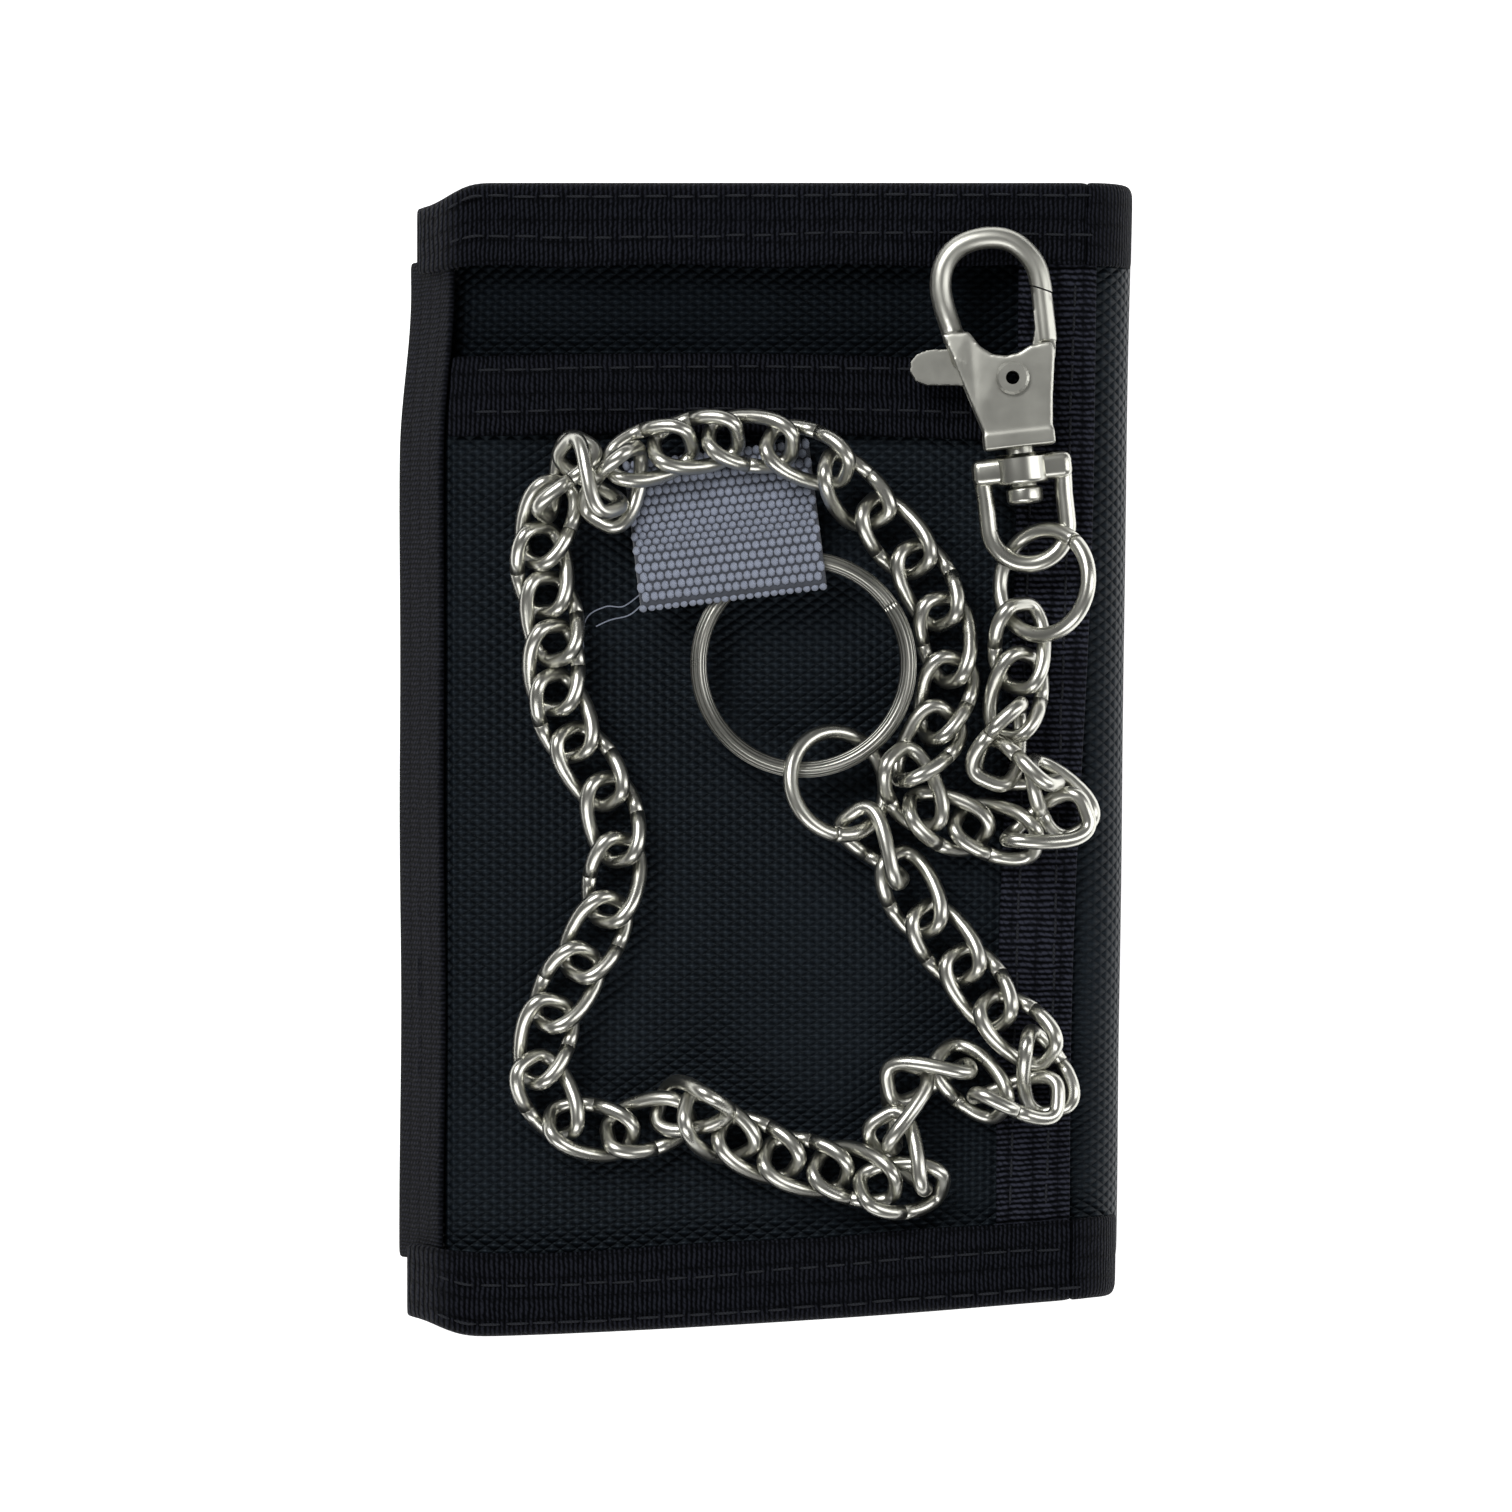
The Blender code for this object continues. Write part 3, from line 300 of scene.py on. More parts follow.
def face_height(points):
    """The height of what lies under each point: the flap's face and what is sewn on it."""
    x, y = points[..., 0], points[..., 1]
    height = np.full(x.shape, FLAP_SHELL_Z + CLOTH)

    def raise_to(level, low_x, high_x, low_y, high_y):
        inside = (x > low_x) & (x < high_x) & (y > low_y) & (y < high_y)
        np.copyto(height, np.maximum(height, level), where=inside)

    reach = 1.2 * MM
    raise_to(FACE_Z, LEFT_X, POCKET_RIGHT + reach, -TOP_Y, POCKET_TOP + reach)
    raise_to(STRIP_TOP_Z, LEFT_X, POCKET_RIGHT, POCKET_TOP - POCKET_TAPE - reach,
             POCKET_TOP + 2 * reach)
    raise_to(STRIP_TOP_Z, STRIP_FOOT_X - STRIP_WIDTH / 2 - reach, WIDTH, -TOP_Y, TOP_Y)
    raise_to(STRIP_TOP_Z + TAB_THICK + 2 * GAP, TAB_TOP[0] - TAB_WIDTH / 2 - reach,
             TAB_TOP[0] + TAB_WIDTH / 2 + 3 * reach, TAB_TOP[1] - 9 * MM, TAB_TOP[1] + 2 * reach)
    return height


def rotated(turns, axes):
    """Each frame in axes turned by its small rotation vector in turns."""
    angle = np.linalg.norm(turns, axis=1)[:, None, None] + 1e-12
    unit = turns[:, :, None] / angle
    along = (unit * axes).sum(1, keepdims=True) * unit
    crossed = np.cross(unit, axes, axis=1)
    return axes * np.cos(angle) + crossed * np.sin(angle) + along * (1 - np.cos(angle))


def lay_chain():
    """Where each link and each jump ring lies.

    The links start on ROUTE. Small moves then part any two wires that are closer than LINK_GAP,
    lift what is below the flap's face, and let the rest sink towards it, so the chain stays
    clear of itself when a size changes.
    Returns the middles and the axes of the links, then of the two jump rings.
    """
    link = link_outline()
    start = FACE_Z + LINK_WIRE + 1.3 * MM
    meets = np.array([(x * MM, y * MM, start + z * MM) for x, y, z, _ in ROUTE])
    rolls = [math.radians(roll) for *_, roll in ROUTE[1:]]
    middles = list((meets[1:] + meets[:-1]) / 2)
    axes = [axes_along(b - a, roll) for a, b, roll in zip(meets, meets[1:], rolls)]
    shapes = [with_steps_between(link, 3)] * len(middles)
    radii = [LINK_WIRE] * len(middles)

    jump = with_steps_between(ring_outline(JUMP_RADIUS, 18), 2)
    for x, y, height, heading, lean in (RING_ONE, RING_TWO):
        middles.append(np.array([x * MM, y * MM, FACE_Z + height * MM]))
        heading = math.radians(heading)
        axes.append(axes_along(np.array([math.cos(heading), math.sin(heading), 0.0]), math.radians(lean)))
        shapes.append(jump)
        radii.append(JUMP_WIRE)
    free = [1.0] * len(middles)

    def add_fixed(points, radius):
        middles.append(np.zeros(3))
        axes.append(np.eye(3))
        shapes.append(points)
        radii.append(radius)
        free.append(0.0)

    for side in (0, math.pi):
        half = ring_outline(SPLIT_RADIUS, 36, side, side + math.pi)
        add_fixed(half + np.array([*SPLIT_CENTRE, split_height()]), split_reach())
    add_fixed(np.array([clasp_point(x, y) for x, y in bail_line(36)]), BAIL_WIRE)

    middles, axes, free, radii = np.array(middles), np.array(axes), np.array(free), np.array(radii)
    shapes = np.array(shapes)
    home = middles.copy()
    centres = np.array([(m + a @ s.T.mean(1)) for m, a, s in zip(middles, axes, shapes)])
    reach = np.array([np.linalg.norm(s - s.mean(0), axis=1).max() for s in shapes])
    pairs = [(a, b) for a in range(len(middles)) for b in range(a + 1, len(middles))
             if free[a] + free[b] and np.linalg.norm(centres[a] - centres[b]) < reach[a] + reach[b] + 3 * MM]
    one, two = np.array(pairs).T
    wanted = radii[one] + radii[two] + LINK_GAP
    spin = 1 / (0.33 * LINK_LENGTH) ** 2
    which = np.arange(len(pairs))

    for move in range(CHAIN_SETTLING):
        points = middles[:, None] + np.einsum("nij,nsj->nsi", axes, shapes)
        shift, turn = np.zeros_like(middles), np.zeros_like(middles)
        apart = points[one][:, :, None] - points[two][:, None]
        away = np.sqrt((apart ** 2).sum(-1)).reshape(len(pairs), -1)
        nearest = away.argmin(1)
        at_one, at_two = np.divmod(nearest, shapes.shape[1])
        distance = away[which, nearest]
        push = apart[which, at_one, at_two] / distance[:, None]
        lack = np.clip(wanted - distance, 0, None)
        arm_one, arm_two = points[one, at_one] - middles[one], points[two, at_two] - middles[two]
        lever_one, lever_two = np.cross(arm_one, push), np.cross(arm_two, push)
        ease_one = free[one] * (1 + spin * (lever_one ** 2).sum(1))
        ease_two = free[two] * (1 + spin * (lever_two ** 2).sum(1))
        share = (0.7 * lack / (ease_one + ease_two))[:, None]
        np.add.at(shift, one, share * push)
        np.add.at(shift, two, -share * push)
        np.add.at(turn, one, share * lever_one * spin)
        np.add.at(turn, two, -share * lever_two * spin)

        sunk = face_height(points) + radii[:, None] + GAP - points[..., 2]
        lowest = sunk.argmax(1)
        depth = np.clip(sunk[np.arange(len(sunk)), lowest], 0, None)[:, None]
        arm = points[np.arange(len(sunk)), lowest] - middles
        lever = np.stack([arm[:, 1], -arm[:, 0], 0 * arm[:, 0]], axis=1)
        lift = 0.7 * depth / (1 + spin * (lever ** 2).sum(1, keepdims=True))
        shift[:, 2:] += lift
        turn += lift * lever * spin
        if move < 0.7 * CHAIN_SETTLING:
            shift[:, 2] -= 0.012 * MM
            shift[:, :2] += 0.02 * (home - middles)[:, :2]
        middles = middles + shift * free[:, None]
        axes = rotated(turn * free[:, None], axes)
    count = len(ROUTE) - 1
    return middles[:count], axes[:count], middles[count:count + 2], axes[count:count + 2]


def split_reach():
    """Radius of a round wire that holds the split ring's two flat turns."""
    return math.hypot(SPLIT_BAND / 2, SPLIT_STRIP + GAP / 2) - 0.16 * MM


def split_height():
    """The split ring lies over the first jump ring and over the lower ply of its loop."""
    return FACE_Z + GAP + 2 * JUMP_WIRE + LINK_GAP + split_reach()


def clasp_point(across, along, rise=0.0):
    """A point of the clasp's plane in the wallet's frame."""
    c, s = math.cos(CLASP_TILT), math.sin(CLASP_TILT)
    return (CLASP_PLACE[0] + across * c - along * s, CLASP_PLACE[1] + across * s + along * c,
            CLASP_Z + rise)


def bail_line(count=19):
    """The middle line of the bail's U, from one end of its bar to the other."""
    half = BAIL_WIDTH / 2 - BAIL_WIRE
    bar = (COLLAR_TOP + COLLAR_FOOT) / 2
    foot = BAIL_FOOT + BAIL_WIRE
    bend = foot + half
    arc = [(-half * math.cos(t), bend - half * math.sin(t)) for t in np.linspace(0, math.pi, count - 6)]
    return [(-COLLAR_RADIUS * 0.8, bar), (-half, bar), (-half, (bar + bend) / 2), *arc,
            (half, (bar + bend) / 2), (half, bar), (COLLAR_RADIUS * 0.8, bar)]


def length(name, description, default):
    return FloatProperty(name=name, description=description, default=default, unit="LENGTH", precision=5)


def colour(name, description, default):
    return FloatVectorProperty(name=name, description=description, default=default,
                               subtype="COLOR", size=3, min=0, max=1)


class WalletSizes(bpy.types.PropertyGroup):
    cloth_pitch: length("Cloth pitch", "Spacing of the coated cloth's embossed bumps", 1.02 * MM)
    rib_pitch: length("Rib pitch", "Spacing of the ribs across the binding tape", 0.54 * MM)
    stitch: length("Stitch", "Length of one visible stitch", 2.4 * MM)
    stitch_pitch: length("Stitch pitch", "From the start of one stitch to the next", 2.9 * MM)
    thread: length("Thread", "Thickness of the sewing thread", 0.30 * MM)
    key_column: length("Key loop column", "Spacing of the key loop's bumps across it", 0.9 * MM)
    key_row: length("Key loop row", "Spacing of the key loop's rows", 1.04 * MM)
    link_cut: length("Link cut", "Width of the cut in a link or ring", 0.08 * MM)
    link_steps: IntProperty(name="Link steps", description="Points round one link", default=56)
    wire_steps: IntProperty(name="Wire steps", description="Points round a wire", default=14)
    camera_height: length("Camera height", "From the floor to the camera", 0.9)
    frame_width: length("Frame width", "Width of what the camera sees at the front flap", 166.3 * MM)


class WalletColours(bpy.types.PropertyGroup):
    cloth: colour("Cloth", "Coated outer cloth", (0.0038, 0.0053, 0.0073))
    tape: colour("Tape", "Binding tape and webbing", (0.0015, 0.0016, 0.0023))
    lining: colour("Lining", "Inner cloth", (0.012, 0.013, 0.016))
    thread: colour("Thread", "Sewing thread", (0.019, 0.0205, 0.025))
    key_loop: colour("Key loop", "Key loop webbing", (0.27, 0.30, 0.38))
    steel: colour("Steel", "Nickel plate", (0.61, 0.607, 0.548))
    film: colour("Film", "Clear film of the card window", (0.35, 0.37, 0.39))
    floor: colour("Floor", "Floor", (0.93, 0.93, 0.93))


BUMP_SLOPE = math.radians(56.0)   # lean of the rows of bumps in the coated cloth


# Shading: a value worked out by nodes, and the materials made from such values


class Value:
    """An output socket that can be used in sums."""

    def __init__(self, tree, socket):
        self.tree, self.socket = tree, socket

    def maths(self, operation, other=None, swapped=False):
        node = self.tree.nodes.new("ShaderNodeMath")
        node.operation = operation
        given = [self] if other is None else [other, self] if swapped else [self, other]
        for slot, value in zip(node.inputs, given):
            put(self.tree, value, slot)
        return Value(self.tree, node.outputs[0])

    def __add__(self, other):
        return self.maths("ADD", other)

    def __radd__(self, other):
        return self.maths("ADD", other, True)

    def __sub__(self, other):
        return self.maths("SUBTRACT", other)

    def __rsub__(self, other):
        return self.maths("SUBTRACT", other, True)

    def __mul__(self, other):
        return self.maths("MULTIPLY", other)

    def __rmul__(self, other):
        return self.maths("MULTIPLY", other, True)

    def sine(self):
        return self.maths("SINE")

    def size(self):
        return self.maths("ABSOLUTE")

    def power(self, other):
        return self.maths("POWER", other)


def put(tree, value, slot):
    """Gives a socket a value, which is either worked out by nodes or plain."""
    if isinstance(value, Value):
        tree.links.new(value.socket, slot)
    else:
        slot.default_value = value


class Finish:
    """One material and the nodes that vary it."""

    def __init__(self, name):
        self.material = bpy.data.materials.new(name)
        self.material.use_nodes = True
        self.tree = self.material.node_tree
        self.shader = self.tree.nodes["Principled BSDF"]

    def node(self, kind, settings=None, output=0, sockets=None):
        made = self.tree.nodes.new(kind)
        for key, value in (settings or {}).items():
            setattr(made, key, value)
        for key, value in (sockets or {}).items():
            put(self.tree, value, made.inputs[key])
        return Value(self.tree, made.outputs[output])

    def along_across(self):
        """Distances in millimetres along a piece and across it, from its UV map."""
        uv = self.node("ShaderNodeUVMap", {"uv_map": "cloth"})
        split = self.tree.nodes.new("ShaderNodeSeparateXYZ")
        put(self.tree, uv, split.inputs[0])
        return Value(self.tree, split.outputs[0]), Value(self.tree, split.outputs[1])

    def place(self):
        return self.node("ShaderNodeTexCoord", output=3)

    def clouds(self, scale, detail=3.0, roughness=0.55):
        return self.node("ShaderNodeTexNoise", sockets={
            "Vector": self.place(), "Scale": scale, "Detail": detail, "Roughness": roughness})

    def blend(self, share, first, second):
        """A colour between two."""
        mix = self.tree.nodes.new("ShaderNodeMix")
        mix.data_type = "RGBA"
        mix.clamp_factor = True
        put(self.tree, share, mix.inputs[0])
        for slot, value in ((mix.inputs[6], first), (mix.inputs[7], second)):
            put(self.tree, value if isinstance(value, Value) else (*value, 1.0), slot)
        return Value(self.tree, mix.outputs[2])

    def bump(self, height, strength, distance, before=None):
        sockets = {"Height": height, "Strength": strength, "Distance": distance}
        if before:
            sockets["Normal"] = before
        return self.node("ShaderNodeBump", sockets=sockets)

    def set(self, **sockets):
        for name, value in sockets.items():
            slot = self.shader.inputs[name.replace("_", " ")]
            if isinstance(value, tuple) and len(value) == 3:
                value = (*value, 1.0)
            put(self.tree, value, slot)
        return self.material


def scaled(shade, share):
    return tuple(part * share for part in shade)


def coated_cloth(name, shade, pitch, gloss=0.15):
    """Cloth with a satin coating, embossed with small diamond bumps."""
    finish = Finish(name)
    along, across = finish.along_across()
    turn = math.pi / (pitch / MM)
    rise, lean = along * (turn * math.sin(BUMP_SLOPE)), across * (turn * math.cos(BUMP_SLOPE))
    warpwise, weftwise = lean + rise, lean - rise
    bumps = warpwise.sine().size() * weftwise.sine().size()
    grain = finish.clouds(2600.0, 2.0)
    creases = finish.clouds(95.0, 4.0, 0.6)
    wear_and_sheen = finish.clouds(38.0, 5.0, 0.65)
    # Painted highlight and shade: the colour is lighter on the bumps' tops and darker between them; the grain
    # is the cloth's own.
    tone = finish.blend(bumps * 0.9 + grain * 0.1, scaled(shade, 0.12), scaled(shade, 2.0))
    # Painted sheen: broad patches lighten the colour; the same patches vary the roughness.
    tone = finish.blend((wear_and_sheen - 0.42) * 1.6, tone, scaled(shade, 2.1))
    normal = finish.bump(creases, 0.32, 0.9 * MM)
    normal = finish.bump(bumps + grain * 0.1, 1.0, 0.3 * MM, normal)
    finish.shader.inputs["Specular IOR Level"].default_value = gloss
    finish.shader.inputs["Specular Tint"].default_value = (0.70, 0.86, 1.0, 1.0)
    return finish.set(Base_Color=tone, Roughness=0.5 + (wear_and_sheen - 0.5) * 0.25 - bumps * 0.06, Normal=normal)


def ribbed_tape(name, shade, pitch, basket=1.0, column=2.3):
    """Matte tape with ribs across it, broken up by its weave into columns."""
    finish = Finish(name)
    along, across = finish.along_across()
    step = math.pi / (pitch / MM)
    bent = along + (finish.clouds(420.0, 2.0) - 0.5) * 0.5
    ribs = (bent * step).sine().size()
    weave = ((across * step * 0.8) + (along * step * 0.5)).sine().size()
    fuzz = finish.clouds(3400.0, 3.0)
    glint_specks = finish.clouds(1500.0, 2.0, 0.7) - 0.5
    wear_and_sheen = finish.clouds(60.0, 4.0, 0.6)
    grooves = (across * (math.pi / column)).sine().size().power(0.3)
    height = (ribs * 0.7 + weave * ribs * 0.35 * basket) * (grooves * 0.6 + 0.4) + fuzz * 0.3
    # Painted highlight and shade: the colour is lightest on the rib tops and at the specks where threads glint,
    # and darkest in the grooves between ribs and columns.
    tone = finish.blend((height + glint_specks * 0.9).power(3.6), scaled(shade, 0.06), scaled(shade, 8.5))
    # Painted sheen: broad patches lighten the colour; they also give the tape broad bumps.
    tone = finish.blend((wear_and_sheen - 0.5) * 1.2, tone, scaled(shade, 2.6))
    normal = finish.bump(wear_and_sheen, 0.25, 0.8 * MM)
    normal = finish.bump(height + glint_specks * 0.6, 1.0, 0.26 * MM, normal)
    finish.shader.inputs["Specular Tint"].default_value = (0.78, 0.86, 1.0, 1.0)
    finish.shader.inputs["Specular IOR Level"].default_value = 0.07
    return finish.set(Base_Color=tone, Roughness=0.72 + (fuzz - 0.5) * 0.3, Normal=normal)


def yarn(name, shade, strand, sheen=0.25):
    """Twisted yarn, with a fuzzy highlight."""
    finish = Finish(name)
    strands = finish.node("ShaderNodeTexWave", {"bands_direction": "DIAGONAL"}, sockets={
        "Vector": finish.place(), "Scale": 0.35 / strand, "Distortion": 3.0, "Detail": 2.0})
    mottle = finish.clouds(500.0, 3.0)
    tone = finish.blend(strands * 0.6 + mottle * 0.4, scaled(shade, 0.55), scaled(shade, 1.35))
    finish.shader.inputs["Sheen Weight"].default_value = sheen
    finish.shader.inputs["Specular IOR Level"].default_value = 0.1 + sheen
    return finish.set(Base_Color=tone, Roughness=0.82 + (mottle - 0.5) * 0.2,
                      Normal=finish.bump(strands, 0.5, 0.06 * MM))


def nickel(name, shade, roughness=0.29, lines=0.0):
    """Tumbled nickel plate: clouded gloss, faint handling marks, and drawn lines where asked for, with painted
    shade in their grooves.
    """
    finish = Finish(name)
    clouded = finish.clouds(260.0, 4.0, 0.6)
    marks = finish.clouds(5200.0, 2.0)
    height = marks * 0.5 + clouded * 0.5
    strength, depth = 0.22, 0.03 * MM
    tone = finish.blend(clouded, scaled(shade, 0.86), scaled(shade, 1.06))
    if lines:
        strength, depth = 0.9, 0.06 * MM
        _, across = finish.along_across()
        drawn = (across * (math.pi / lines)).sine().size()
        height = height * 0.4 + drawn * 1.2
        # Painted shade: the colour darkens to 0.3 of the plate's in the grooves between the drawn lines.
        tone = finish.blend(drawn, scaled(shade, 0.3), tone)
    return finish.set(Base_Color=tone, Metallic=1.0, Roughness=roughness + (clouded - 0.5) * 0.16,
                      Normal=finish.bump(height, strength, depth))


def clear_film(name, shade):
    finish = Finish(name)
    haze = finish.clouds(120.0, 3.0)
    finish.shader.inputs["Coat Weight"].default_value = 0.6
    return finish.set(Base_Color=finish.blend(haze, scaled(shade, 0.8), shade), Roughness=0.16 + haze * 0.12,
                      Normal=finish.bump(haze, 0.1, 0.4 * MM))


def floor_finish(name, shade):
    finish = Finish(name)
    paper = finish.clouds(900.0, 3.0)
    finish.shader.inputs["Emission Color"].default_value = (1.0, 1.0, 1.0, 1.0)
    finish.shader.inputs["Emission Strength"].default_value = 0.8
    return finish.set(Base_Color=finish.blend(paper, scaled(shade, 0.985), shade), Roughness=0.85,
                      Normal=finish.bump(paper, 0.05, 0.05 * MM))


# Shapes


def body_with(node):
    """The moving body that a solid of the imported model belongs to."""
    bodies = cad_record()["behaviour"]["bodies"]
    return next(name for name, nodes in bodies.items() if node in nodes)


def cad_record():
    return STATE["frame"]["record"]


STATE = {}


def finishes():
    """Every finish by name, made once."""
    if "finishes" not in STATE:
        sizes, shades = bpy.context.scene.wallet_sizes, bpy.context.scene.wallet_colours
        STATE["finishes"] = {
            "cloth": coated_cloth("coated_cloth", shades.cloth, sizes.cloth_pitch),
            # inner_cloth is the coated cloth at 0.72 of its colour and with less gloss: painted shade of the
            # flap's recess.
            "inner_cloth": coated_cloth("matte_coated_cloth", scaled(shades.cloth, 0.72),
                                        sizes.cloth_pitch, 0.07),
            "lining": ribbed_tape("plain_lining", shades.lining, 0.45 * MM, 2.0),
            "tape": ribbed_tape("binding_tape", shades.tape, sizes.rib_pitch),
            "webbing": ribbed_tape("strip_webbing", scaled(shades.tape, 2.4),
                                   sizes.rib_pitch * 1.25, 1.0, 2.9),
            "thread": yarn("sewing_thread", shades.thread, 0.2 * MM, 0.0),
            "key_yarn": yarn("key_loop_yarn", shades.key_loop, 0.12 * MM),
            # The key loop's plies under the bumps take the yarn at 0.22 of its colour: painted shade between
            # the bumps.
            "key_ground": yarn("key_loop_ground", scaled(shades.key_loop, 0.22), 0.12 * MM),
            "nickel": nickel("nickel_plate", shades.steel),
            "drawn_nickel": nickel("drawn_nickel", scaled(shades.steel, 0.74), 0.30, 0.45),
            "cast_nickel": nickel("cast_nickel", scaled(shades.steel, 0.90), 0.40),
            "film": clear_film("clear_film", shades.film),
            "floor": floor_finish("floor_paper", shades.floor),
        }
    return STATE["finishes"]


def outline_shift(points):
    """The sewn wallet isn't square: its spine leans in towards the foot, and its foot rises to the spine."""
    points = np.array(points, float)
    x, y = points[..., 0].copy(), points[..., 1].copy()
    down_the_side = np.clip((TOP_Y - y) / HEIGHT, 0, 1)
    to_spine = smooth_step(x, 8 * MM, 38 * MM)
    to_foot = smooth_step(-y, 20 * MM, 60 * MM)
    to_top = smooth_step(y, 34 * MM, 52 * MM)
    to_left = smooth_step(-x, 24 * MM, 38 * MM)
    to_corner = smooth_step(-x, 32 * MM, 39 * MM)
    across = np.clip((x + 31 * MM) / (69 * MM), 0, 1)
    points[..., 0] += -to_spine * (0.2 + 2.0 * down_the_side ** 0.8) * MM + to_left * to_top * 1.1 * MM
    points[..., 1] += to_foot * across ** 1.3 * 4.2 * MM
    foot_in, top_in = smooth_step(-y, 50 * MM, 60 * MM) * 1.8, smooth_step(y, 50 * MM, 62 * MM) * 2.4
    points[..., 1] += to_corner * (foot_in - top_in) * MM
    return points


def smooth_step(values, low, high):
    share = np.clip((values - low) / (high - low), 0, 1)
    return share * share * (3 - 2 * share)


def waves(points, amount, seed, reach=24 * MM):
    """A gentle uneven height over a cloth surface, the same each time."""
    random = np.random.default_rng(seed)
    height = np.zeros(points.shape[:-1])
    for step in range(7):
        way = random.uniform(0, 2 * math.pi)
        bend = random.uniform(0.6, 2.4) / reach * 2 * math.pi * 0.5
        height += np.sin((points[..., 0] * math.cos(way) + points[..., 1] * math.sin(way)) * bend
                         + random.uniform(0, 6.28)) / (1 + 0.5 * step)
    return amount * height / 3.2


def softened(line, radius, step):
    """A line with each corner rounded and its straights divided."""
    line = [np.array(point, float) for point in line]
    points = [line[0]]
    for before, corner, after in zip(line, line[1:], line[2:]):
        inward, outward = before - corner, after - corner
        back = min(radius, np.linalg.norm(inward) * 0.45, np.linalg.norm(outward) * 0.45)
        start = corner + inward / np.linalg.norm(inward) * back
        end = corner + outward / np.linalg.norm(outward) * back
        for share in (0.0, 0.33, 0.67, 1.0):
            points.append((1 - share) ** 2 * start + 2 * share * (1 - share) * corner + share ** 2 * end)
    points.append(line[-1])
    divided = [points[0]]
    for a, b in zip(points, points[1:]):
        parts = max(1, math.ceil(np.linalg.norm(b - a) / step))
        divided += [a + (b - a) * (k + 1) / parts for k in range(parts)]
    return np.array(divided)


def distances_along(line):
    """How far each point is along a line, from its start."""
    return np.concatenate([[0], np.cumsum(np.linalg.norm(np.diff(line, axis=0), axis=1))])


def mesh_from(work, mesh=None):
    """The mesh that a bmesh holds, after which the bmesh is given up."""
    mesh = mesh or bpy.data.meshes.new("shape")
    work.to_mesh(mesh)
    work.free()
    return mesh


def swept(line, positions, axis):
    """A grid of points: a line of (a, z) carried along the axis, and its distances for the weave."""
    rows = []
    for position in positions:
        a, z = line[:, 0], line[:, 1]
        fixed = np.full_like(a, position)
        rows.append(np.stack([a, fixed, z] if axis == "y" else [fixed, a, z], axis=1))
    across = distances_along(line)
    uv = np.array([[(position, distance) for distance in across] for position in positions])
    return np.array(rows), uv


def shape_object(name, mesh, finish, smooth=True):
    if smooth:
        mesh.polygons.foreach_set("use_smooth", [True] * len(mesh.polygons))
    made = bpy.data.objects.new(name, mesh)
    bpy.context.scene.collection.objects.link(made)
    mesh.materials.append(finishes()[finish])
    return made


def grid_mesh(points, uv, closed=False):
    """A mesh from a grid of points; closed joins its last column to its first.

    The joining faces take the last column's distances, so that the weave doesn't run back.
    """
    rows, columns = points.shape[:2]
    work = bmesh.new()
    verts = [[work.verts.new(points[r, c]) for c in range(columns)] for r in range(rows)]
    layer = work.loops.layers.uv.new("cloth")
    for r in range(rows - 1):
        for c in range(columns if closed else columns - 1):
            n = (c + 1) % columns
            corners = ((r, c), (r, n), (r + 1, n), (r + 1, c))
            face = work.faces.new([verts[a][b] for a, b in corners])
            for loop, (a, b) in zip(face.loops, corners):
                joins = b == 0 and c == columns - 1
                loop[layer].uv = tuple(uv[a, columns - 1 if joins else b] / MM)
    bmesh.ops.recalc_face_normals(work, faces=work.faces)
    return mesh_from(work)


def thicken(piece, thickness):
    """Gives a flat grid its thickness, and softens its edges."""
    solid = piece.modifiers.new("thickness", "SOLIDIFY")
    solid.thickness, solid.offset = thickness, 0.0
    soft = piece.modifiers.new("softness", "SUBSURF")
    soft.levels = soft.render_levels = 1


def sheet(name, points, uv, thickness, finish, slot, body, nodes):
    """A piece of cloth with thickness and soft edges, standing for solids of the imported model."""
    made = shape_object(name, grid_mesh(outline_shift(points), uv), finish)
    thicken(made, thickness)
    settle(made, body, nodes)
    return made


def settle(piece, body, nodes=()):
    if body:
        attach(piece, body)
    if nodes:
        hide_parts(*nodes)


def spaced(start, end, step):
    return np.linspace(start, end, max(2, int(abs(end - start) / step) + 1))


def flat_sheet(name, box, height, thickness, look, body, node, wave=0.15 * MM, seed=1):
    """A flat panel that waves a little between its sewn edges.

    The box is its (left, right, foot, top), and the look is its finish and its material slot.
    """
    left, right, foot, top = box
    xs, ys = spaced(left, right, SHEET_STEP), spaced(foot, top, SHEET_STEP)
    points, uv = swept(np.stack([xs, np.full_like(xs, height)], axis=1), ys, "y")
    inside_y, inside_x = (np.sin(np.linspace(0, math.pi, len(steps))) for steps in (ys, xs))
    points[..., 2] += waves(points, wave, seed) * (inside_y[:, None] * inside_x[None]) ** 0.5
    return sheet(name, points, uv, thickness, *look, body, [node])


def tube(centre, radius, sides, section=None):
    """A grid round a line: a round wire, or one of the given (out, up) section."""
    centre = np.array(centre, float)
    ahead = np.gradient(centre, axis=0)
    ahead /= np.linalg.norm(ahead, axis=1, keepdims=True)
    rows, side = [], None
    for point, way in zip(centre, ahead):
        if side is None or section is not None:
            side = np.cross(way, (0.0, 0.0, 1.0))
            if np.linalg.norm(side) < 0.1:
                side = np.cross(way, (1.0, 0.0, 0.0))
        side = side - way * (side @ way)
        side /= np.linalg.norm(side)
        above = np.cross(side, way)
        if section is None:
            turns = np.arange(sides) * 2 * math.pi / sides
            rows.append(point + radius * (np.cos(turns)[:, None] * side + np.sin(turns)[:, None] * above))
        else:
            rows.append(point + np.array([out * side + rise * above for out, rise in section]))
    rows = np.array(rows)
    steps = distances_along(centre)
    around = np.linspace(0, 2 * math.pi * (radius or MM), rows.shape[1])
    uv = np.stack(np.meshgrid(steps, around, indexing="ij"), axis=-1)
    return rows, uv


